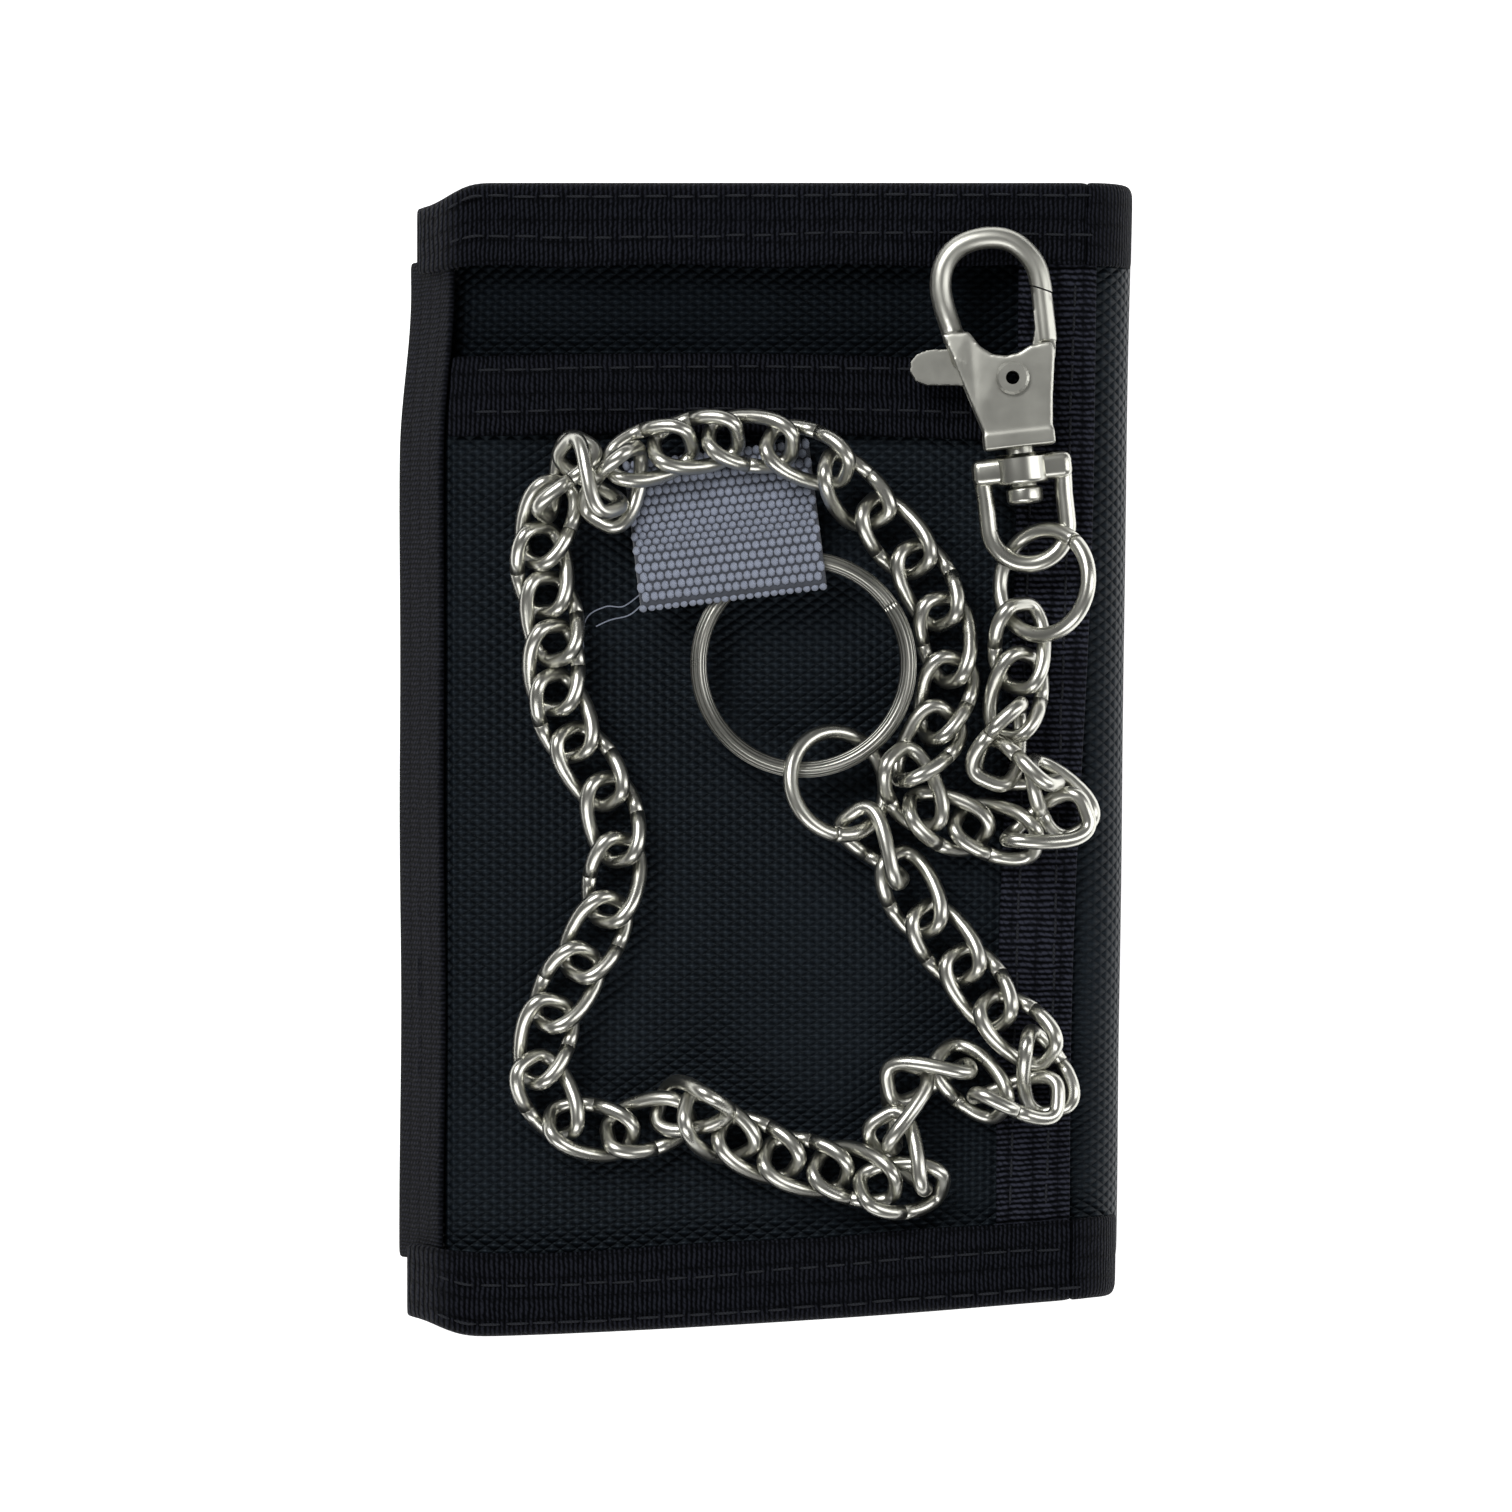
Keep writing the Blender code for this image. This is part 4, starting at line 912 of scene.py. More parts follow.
def capped_tube_mesh(centre, radius, sides, section=None):
    """An open tube whose two ends are rounded over and closed."""
    rows, uv = tube(centre, radius, sides, section)
    centre = np.array(centre)
    ends = []
    for row, middle, beyond in ((rows[0], centre[0], centre[1]), (rows[-1], centre[-1], centre[-2])):
        outward = np.array(middle) - np.array(beyond)
        outward /= np.linalg.norm(outward)
        ends.append(np.array(middle) + (row - middle) * 0.93 + outward * 0.02 * MM)
    rows = np.concatenate([ends[0][None], rows, ends[1][None]])
    uv = np.concatenate([uv[:1], uv, uv[-1:]])
    mesh = grid_mesh(rows, uv, closed=True)
    work = bmesh.new()
    work.from_mesh(mesh)
    edges = [edge for edge in work.edges if edge.is_boundary]
    bmesh.ops.holes_fill(work, edges=edges)
    bmesh.ops.recalc_face_normals(work, faces=work.faces)
    return mesh_from(work, mesh)


def smooth_line(points, count):
    """A Catmull-Rom curve through the points."""
    points = np.array(points, float)
    last = len(points) - 1
    curve = []
    for share in np.linspace(0, last, count):
        k = min(int(share), last - 1)
        t = share - k
        a, b, c, d = [points[min(max(k + step, 0), last)] for step in (-1, 0, 1, 2)]
        curve.append(0.5 * (2 * b + (c - a) * t + (2 * a - 5 * b + 4 * c - d) * t ** 2
                            + (3 * b - a - 3 * c + d) * t ** 3))
    return np.array(curve)


def stitch_rows(name, rows, body):
    """Rows of stitches: each row is a list of points that the thread follows on the cloth."""
    sizes = bpy.context.scene.wallet_sizes
    work = bmesh.new()
    random = np.random.default_rng(len(name))
    for row in rows:
        line = outline_shift(smooth_line(row, 200))
        lengths = distances_along(line)
        start = 1.2 * MM
        while start + sizes.stitch < lengths[-1]:
            dash = sizes.stitch * random.uniform(0.9, 1.08)
            at = start + np.linspace(0, dash, 9)
            centre = np.stack([np.interp(at, lengths, line[:, k]) for k in range(3)], axis=1)
            arch = np.sin(np.linspace(0, math.pi, 9)) ** 0.5
            centre[:, 2] += (arch * 0.5 - 0.42) * sizes.thread
            centre[:, 0:2] += random.uniform(-0.07, 0.07, 2) * MM
            points, _ = tube(centre, sizes.thread / 2, 8)
            taper = (0.45 + 0.55 * arch)[:, None, None]
            points = centre[:, None] + (points - centre[:, None]) * taper
            verts = [[work.verts.new(p) for p in ring] for ring in points]
            for a, b in zip(verts, verts[1:]):
                for k in range(8):
                    work.faces.new([a[k], a[(k + 1) % 8], b[(k + 1) % 8], b[k]])
            work.faces.new(verts[0])
            work.faces.new(verts[-1])
            start += sizes.stitch_pitch * random.uniform(0.97, 1.03)
    bmesh.ops.recalc_face_normals(work, faces=work.faces)
    settle(shape_object(name, mesh_from(work), "thread"), body)


# Pieces, one operator each


class WALLET_OT_back_panel(bpy.types.Operator):
    """Back panel: outer cloth, divider, lining and card pockets"""

    bl_idname = "wallet.back_panel"
    bl_label = "Back panel"

    def execute(self, context):
        left = BACK_LEFT_X + TAPE + GAP
        panel = (left, SPINE_X, -INNER_Y, INNER_Y)
        shorter = (left + 2 * MM, SPINE_X - 2 * MM, -INNER_Y, INNER_Y - 6 * MM)
        flat_sheet("back_cloth", panel, BACK_SHELL_Z + CLOTH / 2 - 0.1 * MM, CLOTH * 0.8,
                   OUTER, "back", "back_shell", seed=11)
        flat_sheet("divider_cloth", shorter, DIVIDER_Z + LINING / 2, LINING * 0.8,
                   LINED, "back", "bill_divider", 0.4 * MM, 12)
        flat_sheet("inner_cloth", panel, BACK_LINING_Z + LINING / 2 - 0.1 * MM, LINING * 0.8,
                   LINED, "back", "back_lining", 0.1 * MM, 13)
        right = SPINE_X - 2.6 * MM
        for number, mouth in enumerate(CARD_STEPS):
            height = CARD_Z + number * (CARD_LAYER + GAP) + CARD_LAYER / 2
            flat_sheet(f"card_pocket_cloth_{number + 1}", (right - CARD_WIDTH, right, CARD_FOOT, mouth), height,
                       CARD_LAYER, LINED, "back", f"card_pocket_{number + 1}", 0.06 * MM, 14 + number)
            tape_z = height + 0.3 * MM
            tape_line = softened([(mouth - 5 * MM, tape_z), (mouth + 0.2 * MM, tape_z)], MM, 1.2 * MM)
            points, uv = swept(tape_line, spaced(right - CARD_WIDTH, right, SHEET_STEP), "x")
            sheet(f"card_mouth_tape_{number + 1}", points, uv, 0.3 * MM, *TAPED, "back", [])
        return {"FINISHED"}


def binding_line(mouth, wall, low, high):
    """A folded binding in section, as (across, height)."""
    inward = TAPE / 2 if mouth > wall else -TAPE / 2
    section = [(mouth, low + TAPE / 2), (wall + inward, low + TAPE / 2),
               (wall + inward, high - TAPE / 2), (mouth, high - TAPE / 2)]
    return softened(section, FOLD_RADIUS, FOLD_STEP)


def carry_over_spine(piece):
    """Bakes a piece's placement into its mesh."""
    BACK_TOP_Z - 2 * MM
    FLAP_FOOT_Z + 2 * MM
    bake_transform(piece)


def droop(x):
    """How far the flap's bindings hang where they pass over its lip."""
    return np.clip(LIP_X - 0.8 * MM - x, 0, None) * math.tan(LIP_SLOPE)


def tape_edge(points, seed):
    """The free edges of a binding wander a little."""
    random = np.random.default_rng(seed)
    rows = len(points)
    shift = np.interp(np.arange(rows), np.linspace(0, rows, 14), random.uniform(-0.22, 0.22, 14)) * MM
    return shift[:, None]


def spine_binding(mouth, wall):
    """The folded section of a binding, carried round the spine from the flap to the back."""
    middle = FLAP_TOP_Z / 2
    outer_z, inner_z = middle - TAPE / 2, (FLAP_FOOT_Z - BACK_TOP_Z) / 2 + TAPE / 2
    section = softened([(mouth, 0.0), (wall, 0.0), (wall, SPINE_TAPE_DEPTH), (mouth, SPINE_TAPE_DEPTH)],
                       FOLD_RADIUS, FOLD_STEP)
    depth = section[:, 1] / section[:, 1].max()
    reach_x = (SPINE_REACH - TAPE / 2) * (1 - depth) + 2.0 * MM * depth
    reach_z = outer_z * (1 - depth) + inner_z * depth
    points = np.array([np.stack([SPINE_X + reach_x * math.cos(turn), section[:, 0],
                                 middle - 0.15 * MM * depth + reach_z * math.sin(turn)], axis=1)
                       for turn in HALF_TURN])
    run = SPINE_X + (math.pi / 2 - HALF_TURN) * SPINE_TAPE_DEPTH
    return points, np.stack(np.meshgrid(run, distances_along(section), indexing="ij"), axis=-1)


class WALLET_OT_bindings(bpy.types.Operator):
    """Folded tape round the edges of both panels and over the spine"""

    bl_idname = "wallet.bindings"
    bl_label = "Bindings"

    def execute(self, context):
        spans = (("front_flap", "flap", FLAP_FOOT_Z, FLAP_TOP_Z, LIP_X - 5.0 * MM),
                 ("back", "back", 0.0, BACK_TOP_Z, BACK_LEFT_X))
        for end, side in (("top", 1), ("bottom", -1)):
            mouth, wall = side * (TOP_Y - TAPE_FACE), side * TOP_Y
            for body, half, low, high, start in spans:
                points, uv = swept(binding_line(mouth, wall, low, high),
                                   spaced(start, SPINE_X + 0.2 * MM, TAPE_STEP), "x")
                free_edge = np.abs(points[..., 1]) < TOP_Y - 4 * MM
                points[..., 1] += tape_edge(points, 20 + side) * free_edge
                upper = points[..., 2] > (low + high) / 2
                points[..., 2] += waves(points, 0.14 * MM, 23 + side) * upper
                if body == "front_flap":
                    points[..., 2] -= droop(points[..., 0])
                sheet(f"{end}_tape_{body}", points, uv, TAPE * 0.85, *TAPED, body, [f"{end}_binding_{half}"])
            points, uv = spine_binding(mouth, wall - side * TAPE / 2)
            carry_over_spine(sheet(f"{end}_tape_spine", points, uv, TAPE * 0.85, *TAPED, None, []))
        points, uv = swept(binding_line(BACK_LEFT_X + TAPE_FACE, BACK_LEFT_X, 0.0, BACK_TOP_Z),
                           spaced(-TOP_Y, TOP_Y, 1.8 * MM), "y")
        sheet("left_tape_back", points, uv, TAPE * 0.85, *TAPED, "back", ["left_binding_back"])
        corner = np.array([LIP_X, FLAP_SHELL_Z + CLOTH / 2])
        reach = CLOTH / 2 + GAP + TAPE / 2
        fold = corner + LIP_DOWN * (LIP_LENGTH - TAPE / 2)
        line = [(LIP_X - 0.7 * MM, STRIP_Z + TAPE / 2), (LIP_X - 1.5 * MM, STRIP_Z - 0.9 * MM),
                fold + LIP_OUT * (reach + 0.3 * MM), fold - LIP_OUT * reach,
                corner - LIP_OUT * reach + LIP_DOWN * 1.8 * MM]
        points, uv = swept(softened(line, 0.9 * MM, 0.9 * MM),
                           spaced(-TOP_Y + 7 * MM, TOP_Y - 7 * MM, 1.8 * MM), "y")
        points[..., 2] += waves(points, 0.3 * MM, 29, 40 * MM)
        points[..., 0] += waves(points, 0.25 * MM, 30, 30 * MM)
        sheet("left_tape_flap", points, uv, TAPE * 0.9, *TAPED, "front_flap", ["left_binding_flap"])
        return {"FINISHED"}


class WALLET_OT_spine(bpy.types.Operator):
    """Outer cloth carried round the spine"""

    bl_idname = "wallet.spine"
    bl_label = "Spine"

    def execute(self, context):
        end = TOP_Y - 4 * MM
        high, low = FLAP_SHELL_Z + CLOTH + 0.35 * MM, BACK_SHELL_Z - 0.3 * MM
        middle, reach_z = (high + low) / 2, (high - low) / 2
        arc = [(SPINE_X + (SPINE_REACH - 0.3 * MM) * math.cos(t), middle + reach_z * math.sin(t))
               for t in HALF_TURN]
        line = np.array([(SPINE_X - 7 * MM, high), (SPINE_X - 4.5 * MM, high), (SPINE_X - 2 * MM, high), *arc,
                         (SPINE_X - 1.5 * MM, low), (SPINE_X - 3 * MM, low)])
        points, uv = swept(line, spaced(-end, end, 2.2 * MM), "y")
        bulge = np.clip((points[..., 0] - SPINE_X) / SPINE_REACH, 0, 1)
        points[..., 0] += waves(points, 0.22 * MM, 31, 30 * MM) * bulge
        carry_over_spine(sheet("spine_fold_cloth", points, uv, 0.6 * MM, *OUTER, None, ["spine_cloth"]))
        return {"FINISHED"}


class WALLET_OT_flap(bpy.types.Operator):
    """Front flap: outer cloth with its drooping lip, lining, card window and closing patches"""

    bl_idname = "wallet.flap"
    bl_label = "Front flap"

    def execute(self, context):
        corner = np.array([LIP_X, FLAP_SHELL_Z + CLOTH / 2 - 0.1 * MM])
        line = softened([(SPINE_X, corner[1]), corner, corner + LIP_DOWN * (LIP_LENGTH - 2 * TAPE - GAP)],
                        2.5 * MM, 2.2 * MM)
        points, uv = swept(line, spaced(-INNER_Y, INNER_Y, 2.2 * MM), "y")
        flat = smooth_step(points[..., 0], LIP_X + 1 * MM, LIP_X + 8 * MM)
        points[..., 2] += (waves(points, 0.35 * MM, 41, 20 * MM) - 0.3 * MM) * flat
        # The flap's cloth is painted darker than the pocket: painted shade of the recess between the top
        # binding and the pocket.
        sheet("flap_cloth", points, uv, CLOTH * 0.8, *SHADE_PAINTED_RECESS, "front_flap", ["flap_shell"])
        flat_sheet("flap_inner_cloth", (LIP_X + 1.6 * MM, SPINE_X, -INNER_Y, INNER_Y),
                   FLAP_LINING_Z + LINING / 2 + 0.05 * MM, LINING * 0.8,
                   LINED, "front_flap", "flap_lining", 0.08 * MM, 42)
        left = BACK_LEFT_X + 1.4 * MM
        for node, body, height in (("hook_patch", "back", PATCH_Z + PATCH_THICK / 2),
                                   ("loop_patch", "front_flap", FLAP_LINING_Z - GAP - PATCH_THICK / 2)):
            flat_sheet(f"{node}_pile", (left, left + PATCH[0], -PATCH[1] / 2, PATCH[1] / 2), height,
                       PATCH_THICK * 0.9, TAPED, body, node, 0.0, 43)
        window = STATE["frame"]["nodes"]["id_window"]
        window.material_slots[0].material = finishes()["film"]
        return {"FINISHED"}


class WALLET_OT_front_pocket(bpy.types.Operator):
    """Slip pocket on the flap, its mouth tape and the upright webbing strip"""

    bl_idname = "wallet.front_pocket"
    bl_label = "Front pocket"

    def execute(self, context):
        left = LIP_X - 0.6 * MM
        xs, ys = spaced(left, POCKET_RIGHT, 2.0 * MM), spaced(-INNER_Y, POCKET_TOP - 1.2 * MM, 2.0 * MM)
        points, uv = swept(np.stack([xs, np.full_like(xs, POCKET_Z + CLOTH / 2)], axis=1), ys, "y")
        inside_y = np.minimum(1, np.sin(np.linspace(0.05, math.pi - 0.05, len(ys)))[:, None] * 3)
        inside_x = np.minimum(1, np.sin(np.linspace(0.12, math.pi - 0.05, len(xs)))[None] * 3)
        dents = (waves(points, 0.3 * MM, 51, 26 * MM) - 0.32 * MM) * (inside_y * inside_x)
        points[..., 2] += dents + 0.05 * MM
        sheet("pocket_cloth", points, uv, CLOTH * 0.8, *OUTER, "front_flap", ["front_pocket"])
        top = STRIP_Z + TAPE / 2
        line = softened([(POCKET_TOP - POCKET_TAPE, top), (POCKET_TOP - TAPE / 2, top),
                         (POCKET_TOP - TAPE / 2, POCKET_Z + 0.1 * MM)], 0.8 * MM, 1.0 * MM)
        points, uv = swept(line, spaced(left + 0.2 * MM, POCKET_RIGHT - 2.6 * MM, TAPE_STEP), "x")
        share = (points[..., 0] - points[..., 0].min()) / np.ptp(points[..., 0])
        points[..., 1] += (0.55 * np.sin(share * math.pi) - 0.4 * share) * MM
        points[..., 2] += waves(points, 0.1 * MM, 52)
        sheet("pocket_mouth_tape", points, uv, TAPE * 0.85, *TAPED, "front_flap", ["pocket_tape"])
        columns = 8
        across = np.linspace(-STRIP_WIDTH / 2, STRIP_WIDTH / 2, columns)
        rows, uvs = [], []
        for y in spaced(-INNER_Y, INNER_Y, 1.8 * MM):
            share = (y + INNER_Y) / (2 * INNER_Y)
            xs = STRIP_FOOT_X + (STRIP_TOP_X - STRIP_FOOT_X) * share + 0.35 * MM * math.sin(y * 70) + across
            fall = smooth_step(xs, SPINE_X - 1 * MM, SPINE_X + 3 * MM) * 0.7 * MM
            rows.append(np.stack([xs, np.full(columns, y), STRIP_Z + STRIP_THICK / 2 - fall], axis=1))
            uvs.append(np.stack([np.full(columns, y), across], axis=1))
        points = np.array(rows)
        points[..., 2] += waves(points, 0.12 * MM, 53)
        sheet("side_strip", points, np.array(uvs), STRIP_THICK * 0.9, *WEBBED, "front_flap", ["side_webbing"])
        return {"FINISHED"}


class WALLET_OT_stitching(bpy.types.Operator):
    """Stitch rows on the bindings, the pocket's mouth and the strip"""

    bl_idname = "wallet.stitching"
    bl_label = "Stitching"

    def execute(self, context):
        proud = 0.02 * MM
        for end, side in (("top", 1), ("bottom", -1)):
            rows = []
            for inset, sway in zip(STITCH_INSETS, (0.1 * MM, 0.3 * MM)):
                rows.append([(x, side * (TOP_Y - inset) + sway * math.sin(x * 90),
                              FLAP_TOP_Z + proud - droop(x))
                             for x in spaced(LIP_X - 4.0 * MM, SPINE_X + 1.5 * MM, 4 * MM)])
            stitch_rows(f"{end}_tape_stitches", rows, "front_flap")
            row = [(x, side * (TOP_Y - STITCH_INSETS[1]), 0.1 * MM)
                   for x in spaced(BACK_LEFT_X + 10 * MM, SPINE_X - 1 * MM, 9 * MM)]
            stitch_rows(f"{end}_back_stitches", [row], "back")
        rows = []
        for inset in POCKET_STITCH_INSETS:
            rows.append([(x, POCKET_TOP - inset + 0.45 * MM * math.sin((x - LIP_X) / (62 * MM) * math.pi),
                          STRIP_Z + TAPE + proud)
                         for x in spaced(LIP_X + 1.5 * MM, POCKET_RIGHT - 3.4 * MM, 9 * MM)])
        stitch_rows("pocket_mouth_stitches", rows, "front_flap")
        rows = []
        for across in (-2.5 * MM, 1.8 * MM):
            rows.append([(STRIP_FOOT_X + (STRIP_TOP_X - STRIP_FOOT_X) * (y + TOP_Y) / HEIGHT + across,
                          y, STRIP_TOP_Z)
                         for y in spaced(-TOP_Y + 10 * MM, TOP_Y - 11 * MM, 9 * MM)])
        stitch_rows("strip_stitches", rows, "front_flap")
        place = np.array([LIP_X, FLAP_SHELL_Z + CLOTH / 2]) + LIP_DOWN * 4.0 * MM \
            + LIP_OUT * (CLOTH / 2 + GAP + TAPE + 0.25 * MM)
        row = [(place[0], y, place[1]) for y in spaced(-TOP_Y + 9 * MM, TOP_Y - 9 * MM, 9 * MM)]
        stitch_rows("left_tape_stitches", [row], "front_flap")
        return {"FINISHED"}


class WALLET_OT_key_loop(bpy.types.Operator):
    """Webbing loop that holds the split ring, with the bumps of its coarse weave"""

    bl_idname = "wallet.key_loop"
    bl_label = "Key loop"

    def execute(self, context):
        sizes = context.scene.wallet_sizes
        place = Matrix.Translation((*TAB_TOP, 0.0)) @ Matrix.Rotation(TAB_TILT, 4, "Z")
        under = FACE_Z + GAP + TAB_THICK / 2
        over = split_height() + SPLIT_STRIP + GAP / 2 + GAP + TAB_THICK / 2
        rest = under + TAB_THICK + GAP
        foot = -TAB_LENGTH + TAB_THICK / 2
        upper = softened([(0.0, rest), (-8.0 * MM, rest), (-11.2 * MM, over), (foot, over),
                          (foot - 0.35 * MM, over - 0.9 * MM)], 2.4 * MM, 1.1 * MM)
        lower = softened([(0.0, under), (foot, under)], MM, 1.4 * MM)
        wall = softened([(foot + 0.6 * MM, over), (foot, over), (foot, under), (foot + 0.6 * MM, under)],
                        1.2 * MM, 0.8 * MM)
        half = TAB_WIDTH / 2
        for name, line, low, high in (("key_loop_upper", upper, -half, half),
                                      ("key_loop_lower", lower, -half, half),
                                      ("key_loop_fold", wall, TAB_FOLD, half)):
            points, uv = swept(line, spaced(low, high, 1.1 * MM), "x")
            # The plies are painted dark, as the shade between the weave's bumps.
            work = shape_object(name, grid_mesh(points, uv), "key_ground")
            work.data.transform(place)
            thicken(work, TAB_THICK * 0.72)
            settle(work, "front_flap", ["key_tab"])
        # Bumps: staggered rows on the upper ply, then down its lower edge
        lengths = distances_along(upper)
        work = bmesh.new()
        random = np.random.default_rng(7)
        rows = int(lengths[-1] / sizes.key_row)
        for row in range(rows + 1):
            at = row * sizes.key_row + 0.35 * MM
            y, z = (np.interp(at, lengths, upper[:, axis]) for axis in (0, 1))
            ahead = [np.interp(at + 0.3 * MM, lengths, upper[:, axis]) for axis in (0, 1)]
            slope = math.atan2(z - ahead[1], y - ahead[0]) if math.dist((y, z), ahead) > 1e-9 else 0.0
            x = -half + 0.35 * MM + (row % 2) * sizes.key_column / 2
            while x < half - 0.3 * MM:
                at_edge = min(x + half, half - x) < 0.8 * MM
                size = (0.44 * MM, (0.60 if at_edge else 0.50) * MM, 0.36 * MM)
                shape = bmesh.ops.create_uvsphere(work, u_segments=8, v_segments=6, radius=1.0)
                spin = Matrix.Translation((x + random.uniform(-0.04, 0.04) * MM, y, z)) \
                    @ Matrix.Rotation(slope, 4, "X") @ Matrix.Translation((0, 0, TAB_THICK * 0.36)) \
                    @ Matrix.Rotation(random.uniform(-0.15, 0.15), 4, "Z") @ Matrix.Diagonal((*size, 1.0))
                bmesh.ops.transform(work, matrix=place @ spin, verts=shape["verts"])
                x += sizes.key_column
        settle(shape_object("key_loop_weave", mesh_from(work), "key_yarn"), "front_flap")
        for number, end in enumerate(LOOSE_THREADS):
            line = smooth_line([(x * MM, y * MM, FACE_Z + (0.5 + z) * MM) for x, y, z in end], 40)
            strand = capped_tube_mesh(line, 0.07 * MM, 6)
            thread = shape_object(f"loose_thread_{number + 1}", strand, "key_yarn")
            thread.data.transform(place)
            settle(thread, "front_flap")
        return {"FINISHED"}


class WALLET_OT_rings(bpy.types.Operator):
    """Split ring of two flat turns, and the two cut jump rings"""

    bl_idname = "wallet.rings"
    bl_label = "Rings"

    def execute(self, context):
        sizes = context.scene.wallet_sizes
        turns = np.linspace(0, 4 * math.pi, 230)
        pitch = SPLIT_STRIP + 0.06 * MM
        coil = np.stack([SPLIT_CENTRE[0] + SPLIT_RADIUS * np.cos(turns + 0.6),
                         SPLIT_CENTRE[1] + SPLIT_RADIUS * np.sin(turns + 0.6),
                         split_height() + pitch * 0.5 * np.tanh((turns - 2 * math.pi) * 3.0)], axis=1)
        corners = []
        for turn in np.linspace(0, 2 * math.pi, 16, endpoint=False):
            c, s = math.cos(turn), math.sin(turn)
            corners.append((math.copysign(abs(c) ** 0.8, c) * SPLIT_BAND / 2,
                            math.copysign(abs(s) ** 0.8, s) * SPLIT_STRIP / 2 * 1.05))
        wire = capped_tube_mesh(coil, SPLIT_BAND / 2, 16, corners)
        ring = shape_object("split_ring_coil", wire, "drawn_nickel")
        settle(ring, "split_ring", ["split_ring"])
        for number, (middle, axes, cut) in enumerate(zip(STATE["rings"][0], STATE["rings"][1], (2.6, -0.9))):
            half = sizes.link_cut / 2 / JUMP_RADIUS
            open_ring = ring_outline(JUMP_RADIUS, 72, cut + half, cut + 2 * math.pi - half)
            open_ring = np.concatenate([open_ring, ring_outline(JUMP_RADIUS, 1, cut + 2 * math.pi - half)])
            body = body_with(f"jump_ring_{number + 1}")
            wire = capped_tube_mesh(middle + open_ring @ axes.T, JUMP_WIRE, sizes.wire_steps + 2)
            ring = shape_object(f"jump_ring_wire_{number + 1}", wire, "nickel")
            settle(ring, body, [f"jump_ring_{number + 1}"])
        return {"FINISHED"}


class WALLET_OT_chain(bpy.types.Operator):
    """Chain of twisted links, each with its cut"""

    bl_idname = "wallet.chain"
    bl_label = "Chain"

    def execute(self, context):
        sizes = context.scene.wallet_sizes
        outline = link_outline(sizes.link_steps, 0.58)
        middles, axes = STATE["links"]
        random = np.random.default_rng(5)
        for index, (middle, frame) in enumerate(zip(middles, axes)):
            first = index - index % 2
            paired = first + 1 < len(middles)
            node = f"chain_links_{first + 1:02d}_{first + 2:02d}" if paired else f"chain_link_{first + 1:02d}"
            # The cut is in the middle of one long side
            turn = sizes.link_steps // 4 if random.random() < 0.5 else 3 * sizes.link_steps // 4
            loop = np.roll(outline, -turn, axis=0)
            loop = np.concatenate([loop, loop[:1]])
            back = sizes.link_cut / 2 / np.linalg.norm(loop[1] - loop[0])
            loop[0] += (loop[1] - loop[0]) * back
            loop[-1] += (loop[-2] - loop[-1]) * back
            wire = capped_tube_mesh(middle + loop @ frame.T, LINK_WIRE * 1.03, sizes.wire_steps)
            link = shape_object(f"link_{index + 1:02d}", wire, "nickel")
            settle(link, body_with(node), [node])
        return {"FINISHED"}


def lathe_mesh(profile, steps):
    """A closed (radius, height) profile turned about Z."""
    turns = np.linspace(0, 2 * math.pi, steps, endpoint=False)
    profile = np.array(profile, float)
    points = np.array([[(r * math.cos(t), r * math.sin(t), z) for t in turns] for r, z in profile])
    uv = np.stack(np.meshgrid(distances_along(profile), turns * profile[:, 0].max(), indexing="ij"), axis=-1)
    return grid_mesh(points, uv, closed=True)


def rounded_profile(corners, radius):
    """A lathe profile whose corners are rounded over; it runs back to its start."""
    closed = list(corners) + [corners[0], corners[1]]
    line = softened(closed, radius, 5.0)
    return line[4:]


def outline_prism(corners, low, high):
    """A flat outline in millimetres, given depth."""
    work = bmesh.new()
    face = work.faces.new([work.verts.new((x * MM, y * MM, low)) for x, y in corners])
    grown = bmesh.ops.extrude_face_region(work, geom=[face])
    lifted = [item for item in grown["geom"] if isinstance(item, bmesh.types.BMVert)]
    bmesh.ops.translate(work, verts=lifted, vec=(0, 0, high - low))
    bmesh.ops.recalc_face_normals(work, faces=work.faces)
    return mesh_from(work)


def box_outline(left, right, foot, top):
    return [(left, foot), (right, foot), (right, top), (left, top)]


def casting(name, solids, cuts, grain, passes, place):
    """Solids melted into one soft-edged casting, with clean cuts made in it afterwards."""
    work = bmesh.new()
    for mesh in solids:
        work.from_mesh(mesh)
    cast = shape_object(name, mesh_from(work), "cast_nickel")
    fused = cast.modifiers.new("fused", "REMESH")
    fused.mode, fused.voxel_size = "VOXEL", grain
    soft = cast.modifiers.new("softened", "SMOOTH")
    soft.factor, soft.iterations = 0.5, passes
    cutters = []
    for mesh in cuts:
        cutter = bpy.data.objects.new("cutter", mesh)
        bpy.context.scene.collection.objects.link(cutter)
        cutters.append(cutter)
        cut = cast.modifiers.new("cut", "BOOLEAN")
        cut.operation, cut.solver, cut.object = "DIFFERENCE", "EXACT", cutter
    bpy.context.view_layer.update()
    final = bpy.data.meshes.new_from_object(cast.evaluated_get(bpy.context.evaluated_depsgraph_get()))
    cast.modifiers.clear()
    cast.data = final
    for cutter in cutters:
        bpy.data.objects.remove(cutter, do_unlink=True)
    final.polygons.foreach_set("use_smooth", [True] * len(final.polygons))
    final.set_sharp_from_angle(angle=math.radians(38))
    final.transform(place)
    return cast


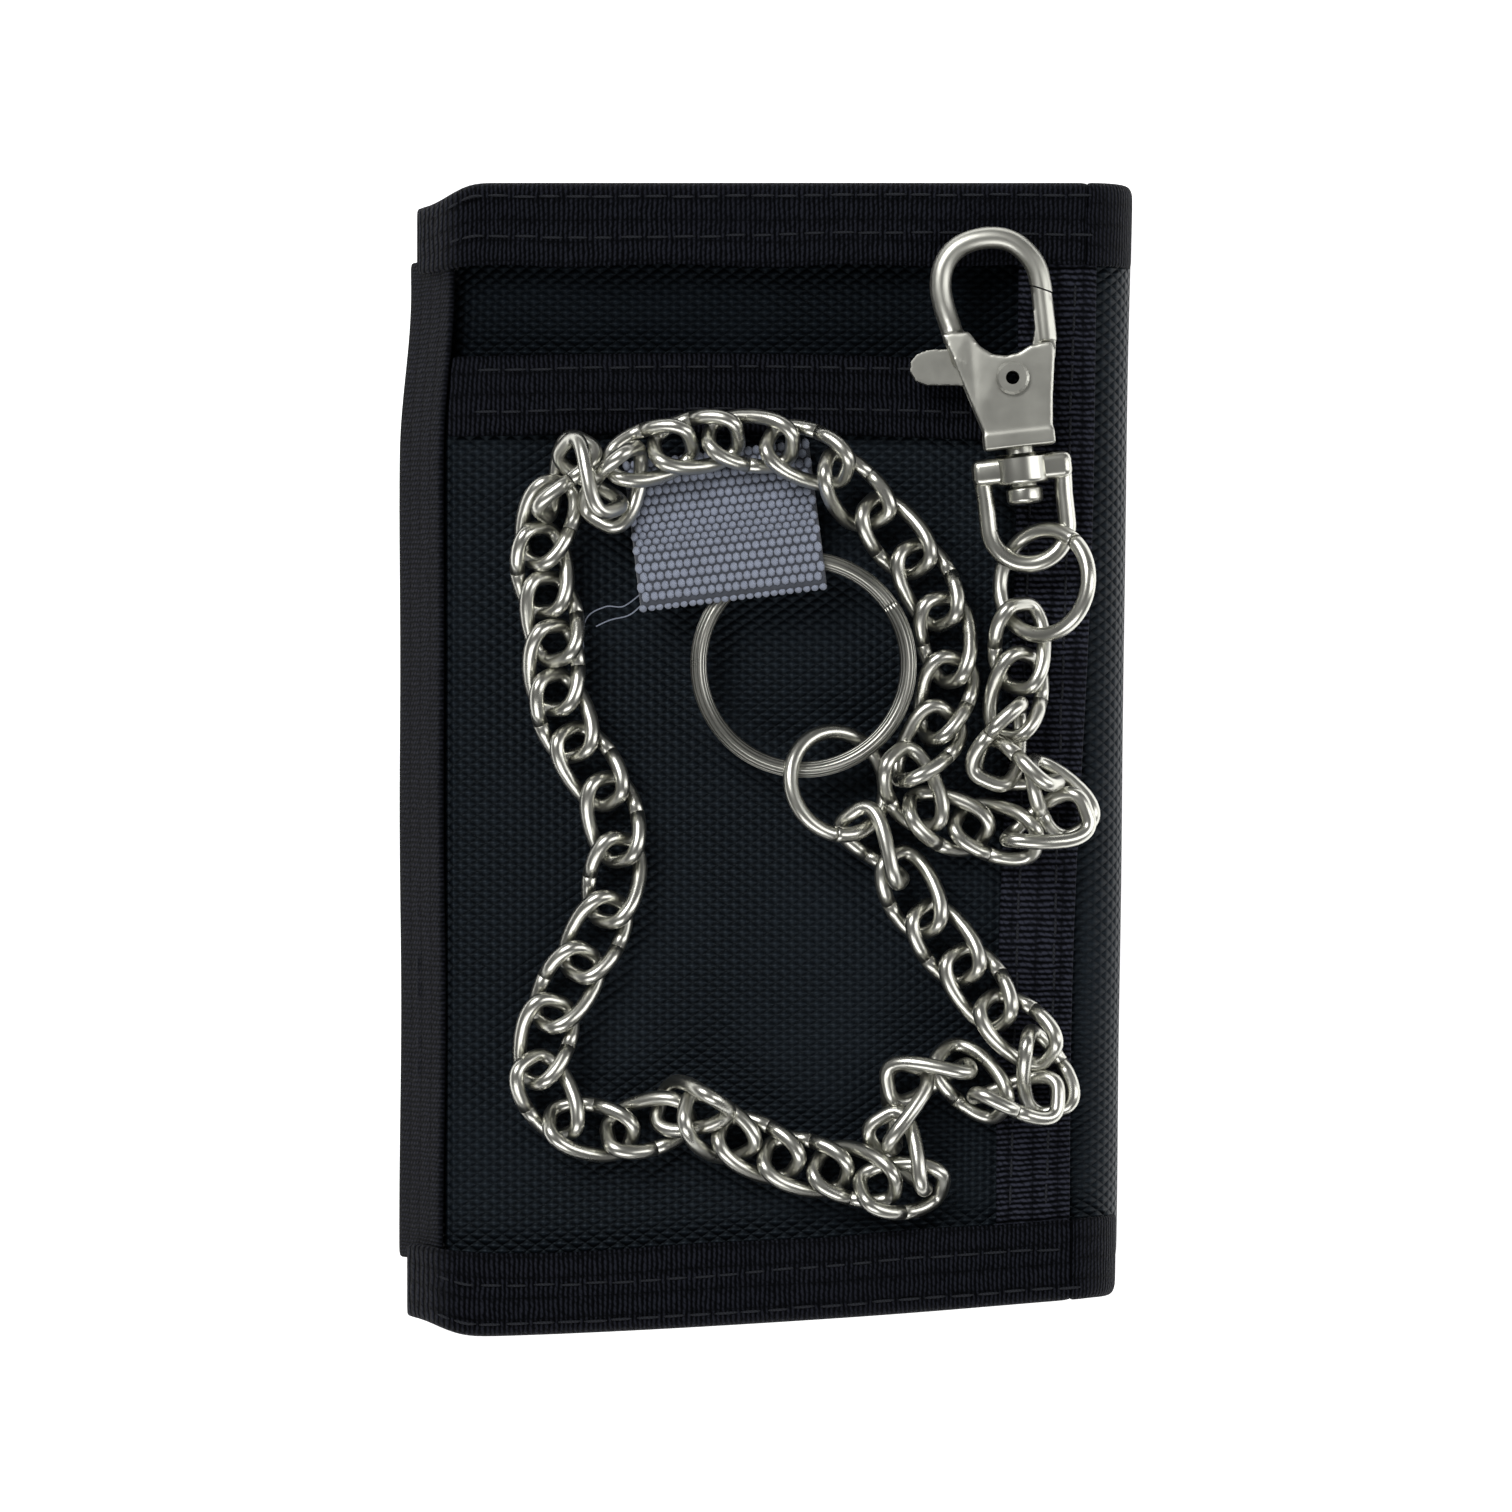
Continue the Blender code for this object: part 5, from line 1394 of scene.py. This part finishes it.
class WALLET_OT_clasp(bpy.types.Operator):
    """Swivel snap clasp: cast body with its hook, latch, rivet, swivel post and bail"""

    bl_idname = "wallet.clasp"
    bl_label = "Clasp"

    def execute(self, context):
        place = Matrix.Translation(clasp_point(0.0, 0.0)) @ Matrix.Rotation(CLASP_TILT, 4, "Z")
        along = Matrix.Rotation(math.radians(90.0), 4, "X")
        half = CLASP_THICK / 2
        slot = LATCH_THICK / 2 + LATCH_PLAY
        line = smooth_line([(x * MM, y * MM, 0.0) for x, y in HOOK_LINE], 70)
        wire, slab = capped_tube_mesh(line, HOOK_WIRE * 1.05, 20), outline_prism(BODY_OUTLINE, -half, half)
        for mesh, before, after in ((wire, 1.95, 1.0), (slab, 1.0, 0.72)):
            for vert in mesh.vertices:
                if vert.co.x < -1 * MM:
                    vert.co.z *= before + (after - before) * float(smooth_step(vert.co.y, 1 * MM, 9 * MM))
        circle = [(math.cos(t) * RIVET_RADIUS / MM, math.sin(t) * RIVET_RADIUS / MM)
                  for t in np.linspace(0, 2 * math.pi, 24, endpoint=False)]
        bore = outline_prism(circle, -2 * half, 2 * half)
        solids = [slab, wire, outline_prism(box_outline(-3.9, 3.95, -7.6, -5.9), -half * 1.04, half * 1.04)]
        cuts = [outline_prism(MOUTH_CUT, -half, half),
                outline_prism(box_outline(-12.0, 6.5, -2.6, 4.6), -slot, slot),
                outline_prism(box_outline(-3.4, -1.4, -5.0, -2.4), -slot, slot), bore]
        body = casting("clasp_casting", solids, cuts, 0.17 * MM, 12, place)
        settle(body, "clasp", ["clasp_body"])
        arm = smooth_line([(4.27 * MM, 3.7 * MM, 0), (4.27 * MM, 10.0 * MM, 0)], 12)
        solids = [outline_prism(LATCH_OUTLINE, -LATCH_THICK / 2, LATCH_THICK / 2),
                  capped_tube_mesh(arm, LATCH_ROD * 1.04, 18)]
        cuts = [outline_prism(BEYOND_MOUTH, -half, half), bore.copy()]
        latch = casting("latch_casting", solids, cuts, 0.15 * MM, 4, place)
        settle(latch, "latch", ["clasp_latch"])
        stem = softened([(0.02 * MM, 6.0 * MM), (POST_RADIUS, 6.0 * MM), (POST_RADIUS, 12.0 * MM),
                         (POST_HEAD, 12.1 * MM), (POST_HEAD, 13.4 * MM), (POST_HEAD * 0.85, 13.75 * MM),
                         (0.02 * MM, 13.8 * MM)], 0.2 * MM, 5.0)
        post = shape_object("clasp_post", lathe_mesh(stem, 32), "nickel")
        post.data.transform(place @ along)
        settle(post, "clasp", ["clasp_body"])
        line = smooth_line([(x, y, 0.0) for x, y in bail_line(31)], 90)
        bail = shape_object("bail_wire", capped_tube_mesh(line, BAIL_WIRE * 1.08, 16), "nickel")
        bail.data.transform(place)
        settle(bail, "bail", ["clasp_bail"])
        inner, outer = POST_RADIUS + SWIVEL_PLAY * 0.5, COLLAR_RADIUS
        ring = rounded_profile([(inner, -COLLAR_TOP), (outer, -COLLAR_TOP), (outer, -COLLAR_FOOT),
                                (inner, -COLLAR_FOOT)], 0.45 * MM)
        collar = shape_object("bail_collar", lathe_mesh(ring, 36), "nickel")
        collar.data.transform(place @ along)
        settle(collar, "bail", ["clasp_bail"])
        work = bmesh.new()
        bmesh.ops.create_cube(work, size=1.0)
        spread = Matrix.Diagonal((BAIL_WIDTH + 0.5 * MM, 2.9 * MM, 3.0 * MM, 1.0))
        bmesh.ops.transform(work, verts=work.verts,
                            matrix=Matrix.Translation((0, (COLLAR_TOP + COLLAR_FOOT) / 2, 0)) @ spread)
        bail_bar = shape_object("bail_bar", mesh_from(work), "nickel")
        bail_bar.data.transform(place)
        bevel = bail_bar.modifiers.new("rounding", "BEVEL")
        bevel.width, bevel.segments = 0.85 * MM, 4
        settle(bail_bar, "bail", ["clasp_bail"])
        for name in ("clasp_rivet", "latch_spring"):
            STATE["frame"]["nodes"][name].material_slots[0].material = finishes()["cast_nickel"]
        worn = STATE["frame"]["nodes"]["clasp_rivet"].modifiers.new("worn_edges", "BEVEL")
        worn.width, worn.segments = 0.08 * MM, 2
        worn.limit_method, worn.angle_limit = "ANGLE", math.radians(25)
        return {"FINISHED"}


class WALLET_OT_stage(bpy.types.Operator):
    """Pale floor, soft light and a camera straight above"""

    bl_idname = "wallet.stage"
    bl_label = "Stage"

    def execute(self, context):
        sizes = context.scene.wallet_sizes
        plane = bpy.data.meshes.new("floor")
        plane.from_pydata([(x, y, FLOOR_Z) for x, y in box_outline(-3, 3, -3, 3)], [], [(0, 1, 2, 3)])
        floor = shape_object("floor", plane, "floor", smooth=False)
        world = context.scene.world or bpy.data.worlds.new("studio")
        context.scene.world = world
        world.use_nodes = True
        backdrop = world.node_tree.nodes["Background"].inputs
        backdrop["Color"].default_value = (1.0, 1.0, 1.0, 1.0)
        backdrop["Strength"].default_value = 0.14
        for name, place, width, height, power in LAMPS:
            lamp = bpy.data.lights.new(name, "AREA")
            lamp.shape, lamp.size, lamp.size_y, lamp.energy = "RECTANGLE", width, height, power
            light = bpy.data.objects.new(name, lamp)
            context.scene.collection.objects.link(light)
            light.location = place
            light.rotation_euler = (-Vector(place)).to_track_quat("-Z", "Y").to_euler()
        lens = bpy.data.cameras.new("camera")
        camera = bpy.data.objects.new("camera", lens)
        context.scene.collection.objects.link(camera)
        camera.location = (-1.0 * MM, 0.4 * MM, sizes.camera_height)
        lens.sensor_width = 36.0
        lens.lens = 36.0 * (sizes.camera_height - FACE_Z) / sizes.frame_width
        lens.clip_start, lens.clip_end = 0.01, 10.0
        context.scene.camera = camera
        context.scene.view_settings.view_transform = "Standard"
        return {"FINISHED"}


PIECES = (
    WALLET_OT_stage,
    WALLET_OT_back_panel,
    WALLET_OT_bindings,
    WALLET_OT_spine,
    WALLET_OT_flap,
    WALLET_OT_front_pocket,
    WALLET_OT_stitching,
    WALLET_OT_key_loop,
    WALLET_OT_rings,
    WALLET_OT_chain,
    WALLET_OT_clasp,
)


class WALLET_PT_panel(bpy.types.Panel):
    """Sizes, colours and the pieces in the order they are made"""

    bl_label = "Chain wallet"
    bl_idname = "WALLET_PT_panel"
    bl_space_type = "VIEW_3D"
    bl_region_type = "UI"
    bl_category = "Wallet"

    def draw(self, context):
        for group in (context.scene.wallet_sizes, context.scene.wallet_colours):
            column = self.layout.column()
            for name in group.__annotations__:
                column.prop(group, name)
        for piece in PIECES:
            self.layout.operator(piece.bl_idname)


CLASSES = (WalletSizes, WalletColours, *PIECES, WALLET_PT_panel)


def register():
    for made in CLASSES:
        bpy.utils.register_class(made)
    bpy.types.Scene.wallet_sizes = PointerProperty(type=WalletSizes)
    bpy.types.Scene.wallet_colours = PointerProperty(type=WalletColours)


def unregister():
    del bpy.types.Scene.wallet_sizes
    del bpy.types.Scene.wallet_colours
    for made in reversed(CLASSES):
        bpy.utils.unregister_class(made)


def main():
    register()
    STATE["frame"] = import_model()
    middles, axes, ring_middles, ring_axes = lay_chain()
    STATE["links"], STATE["rings"] = (middles, axes), (ring_middles, ring_axes)
    for piece in PIECES:
        getattr(bpy.ops.wallet, piece.bl_idname.split(".")[1])()


if __name__ == "__main__":
    main()
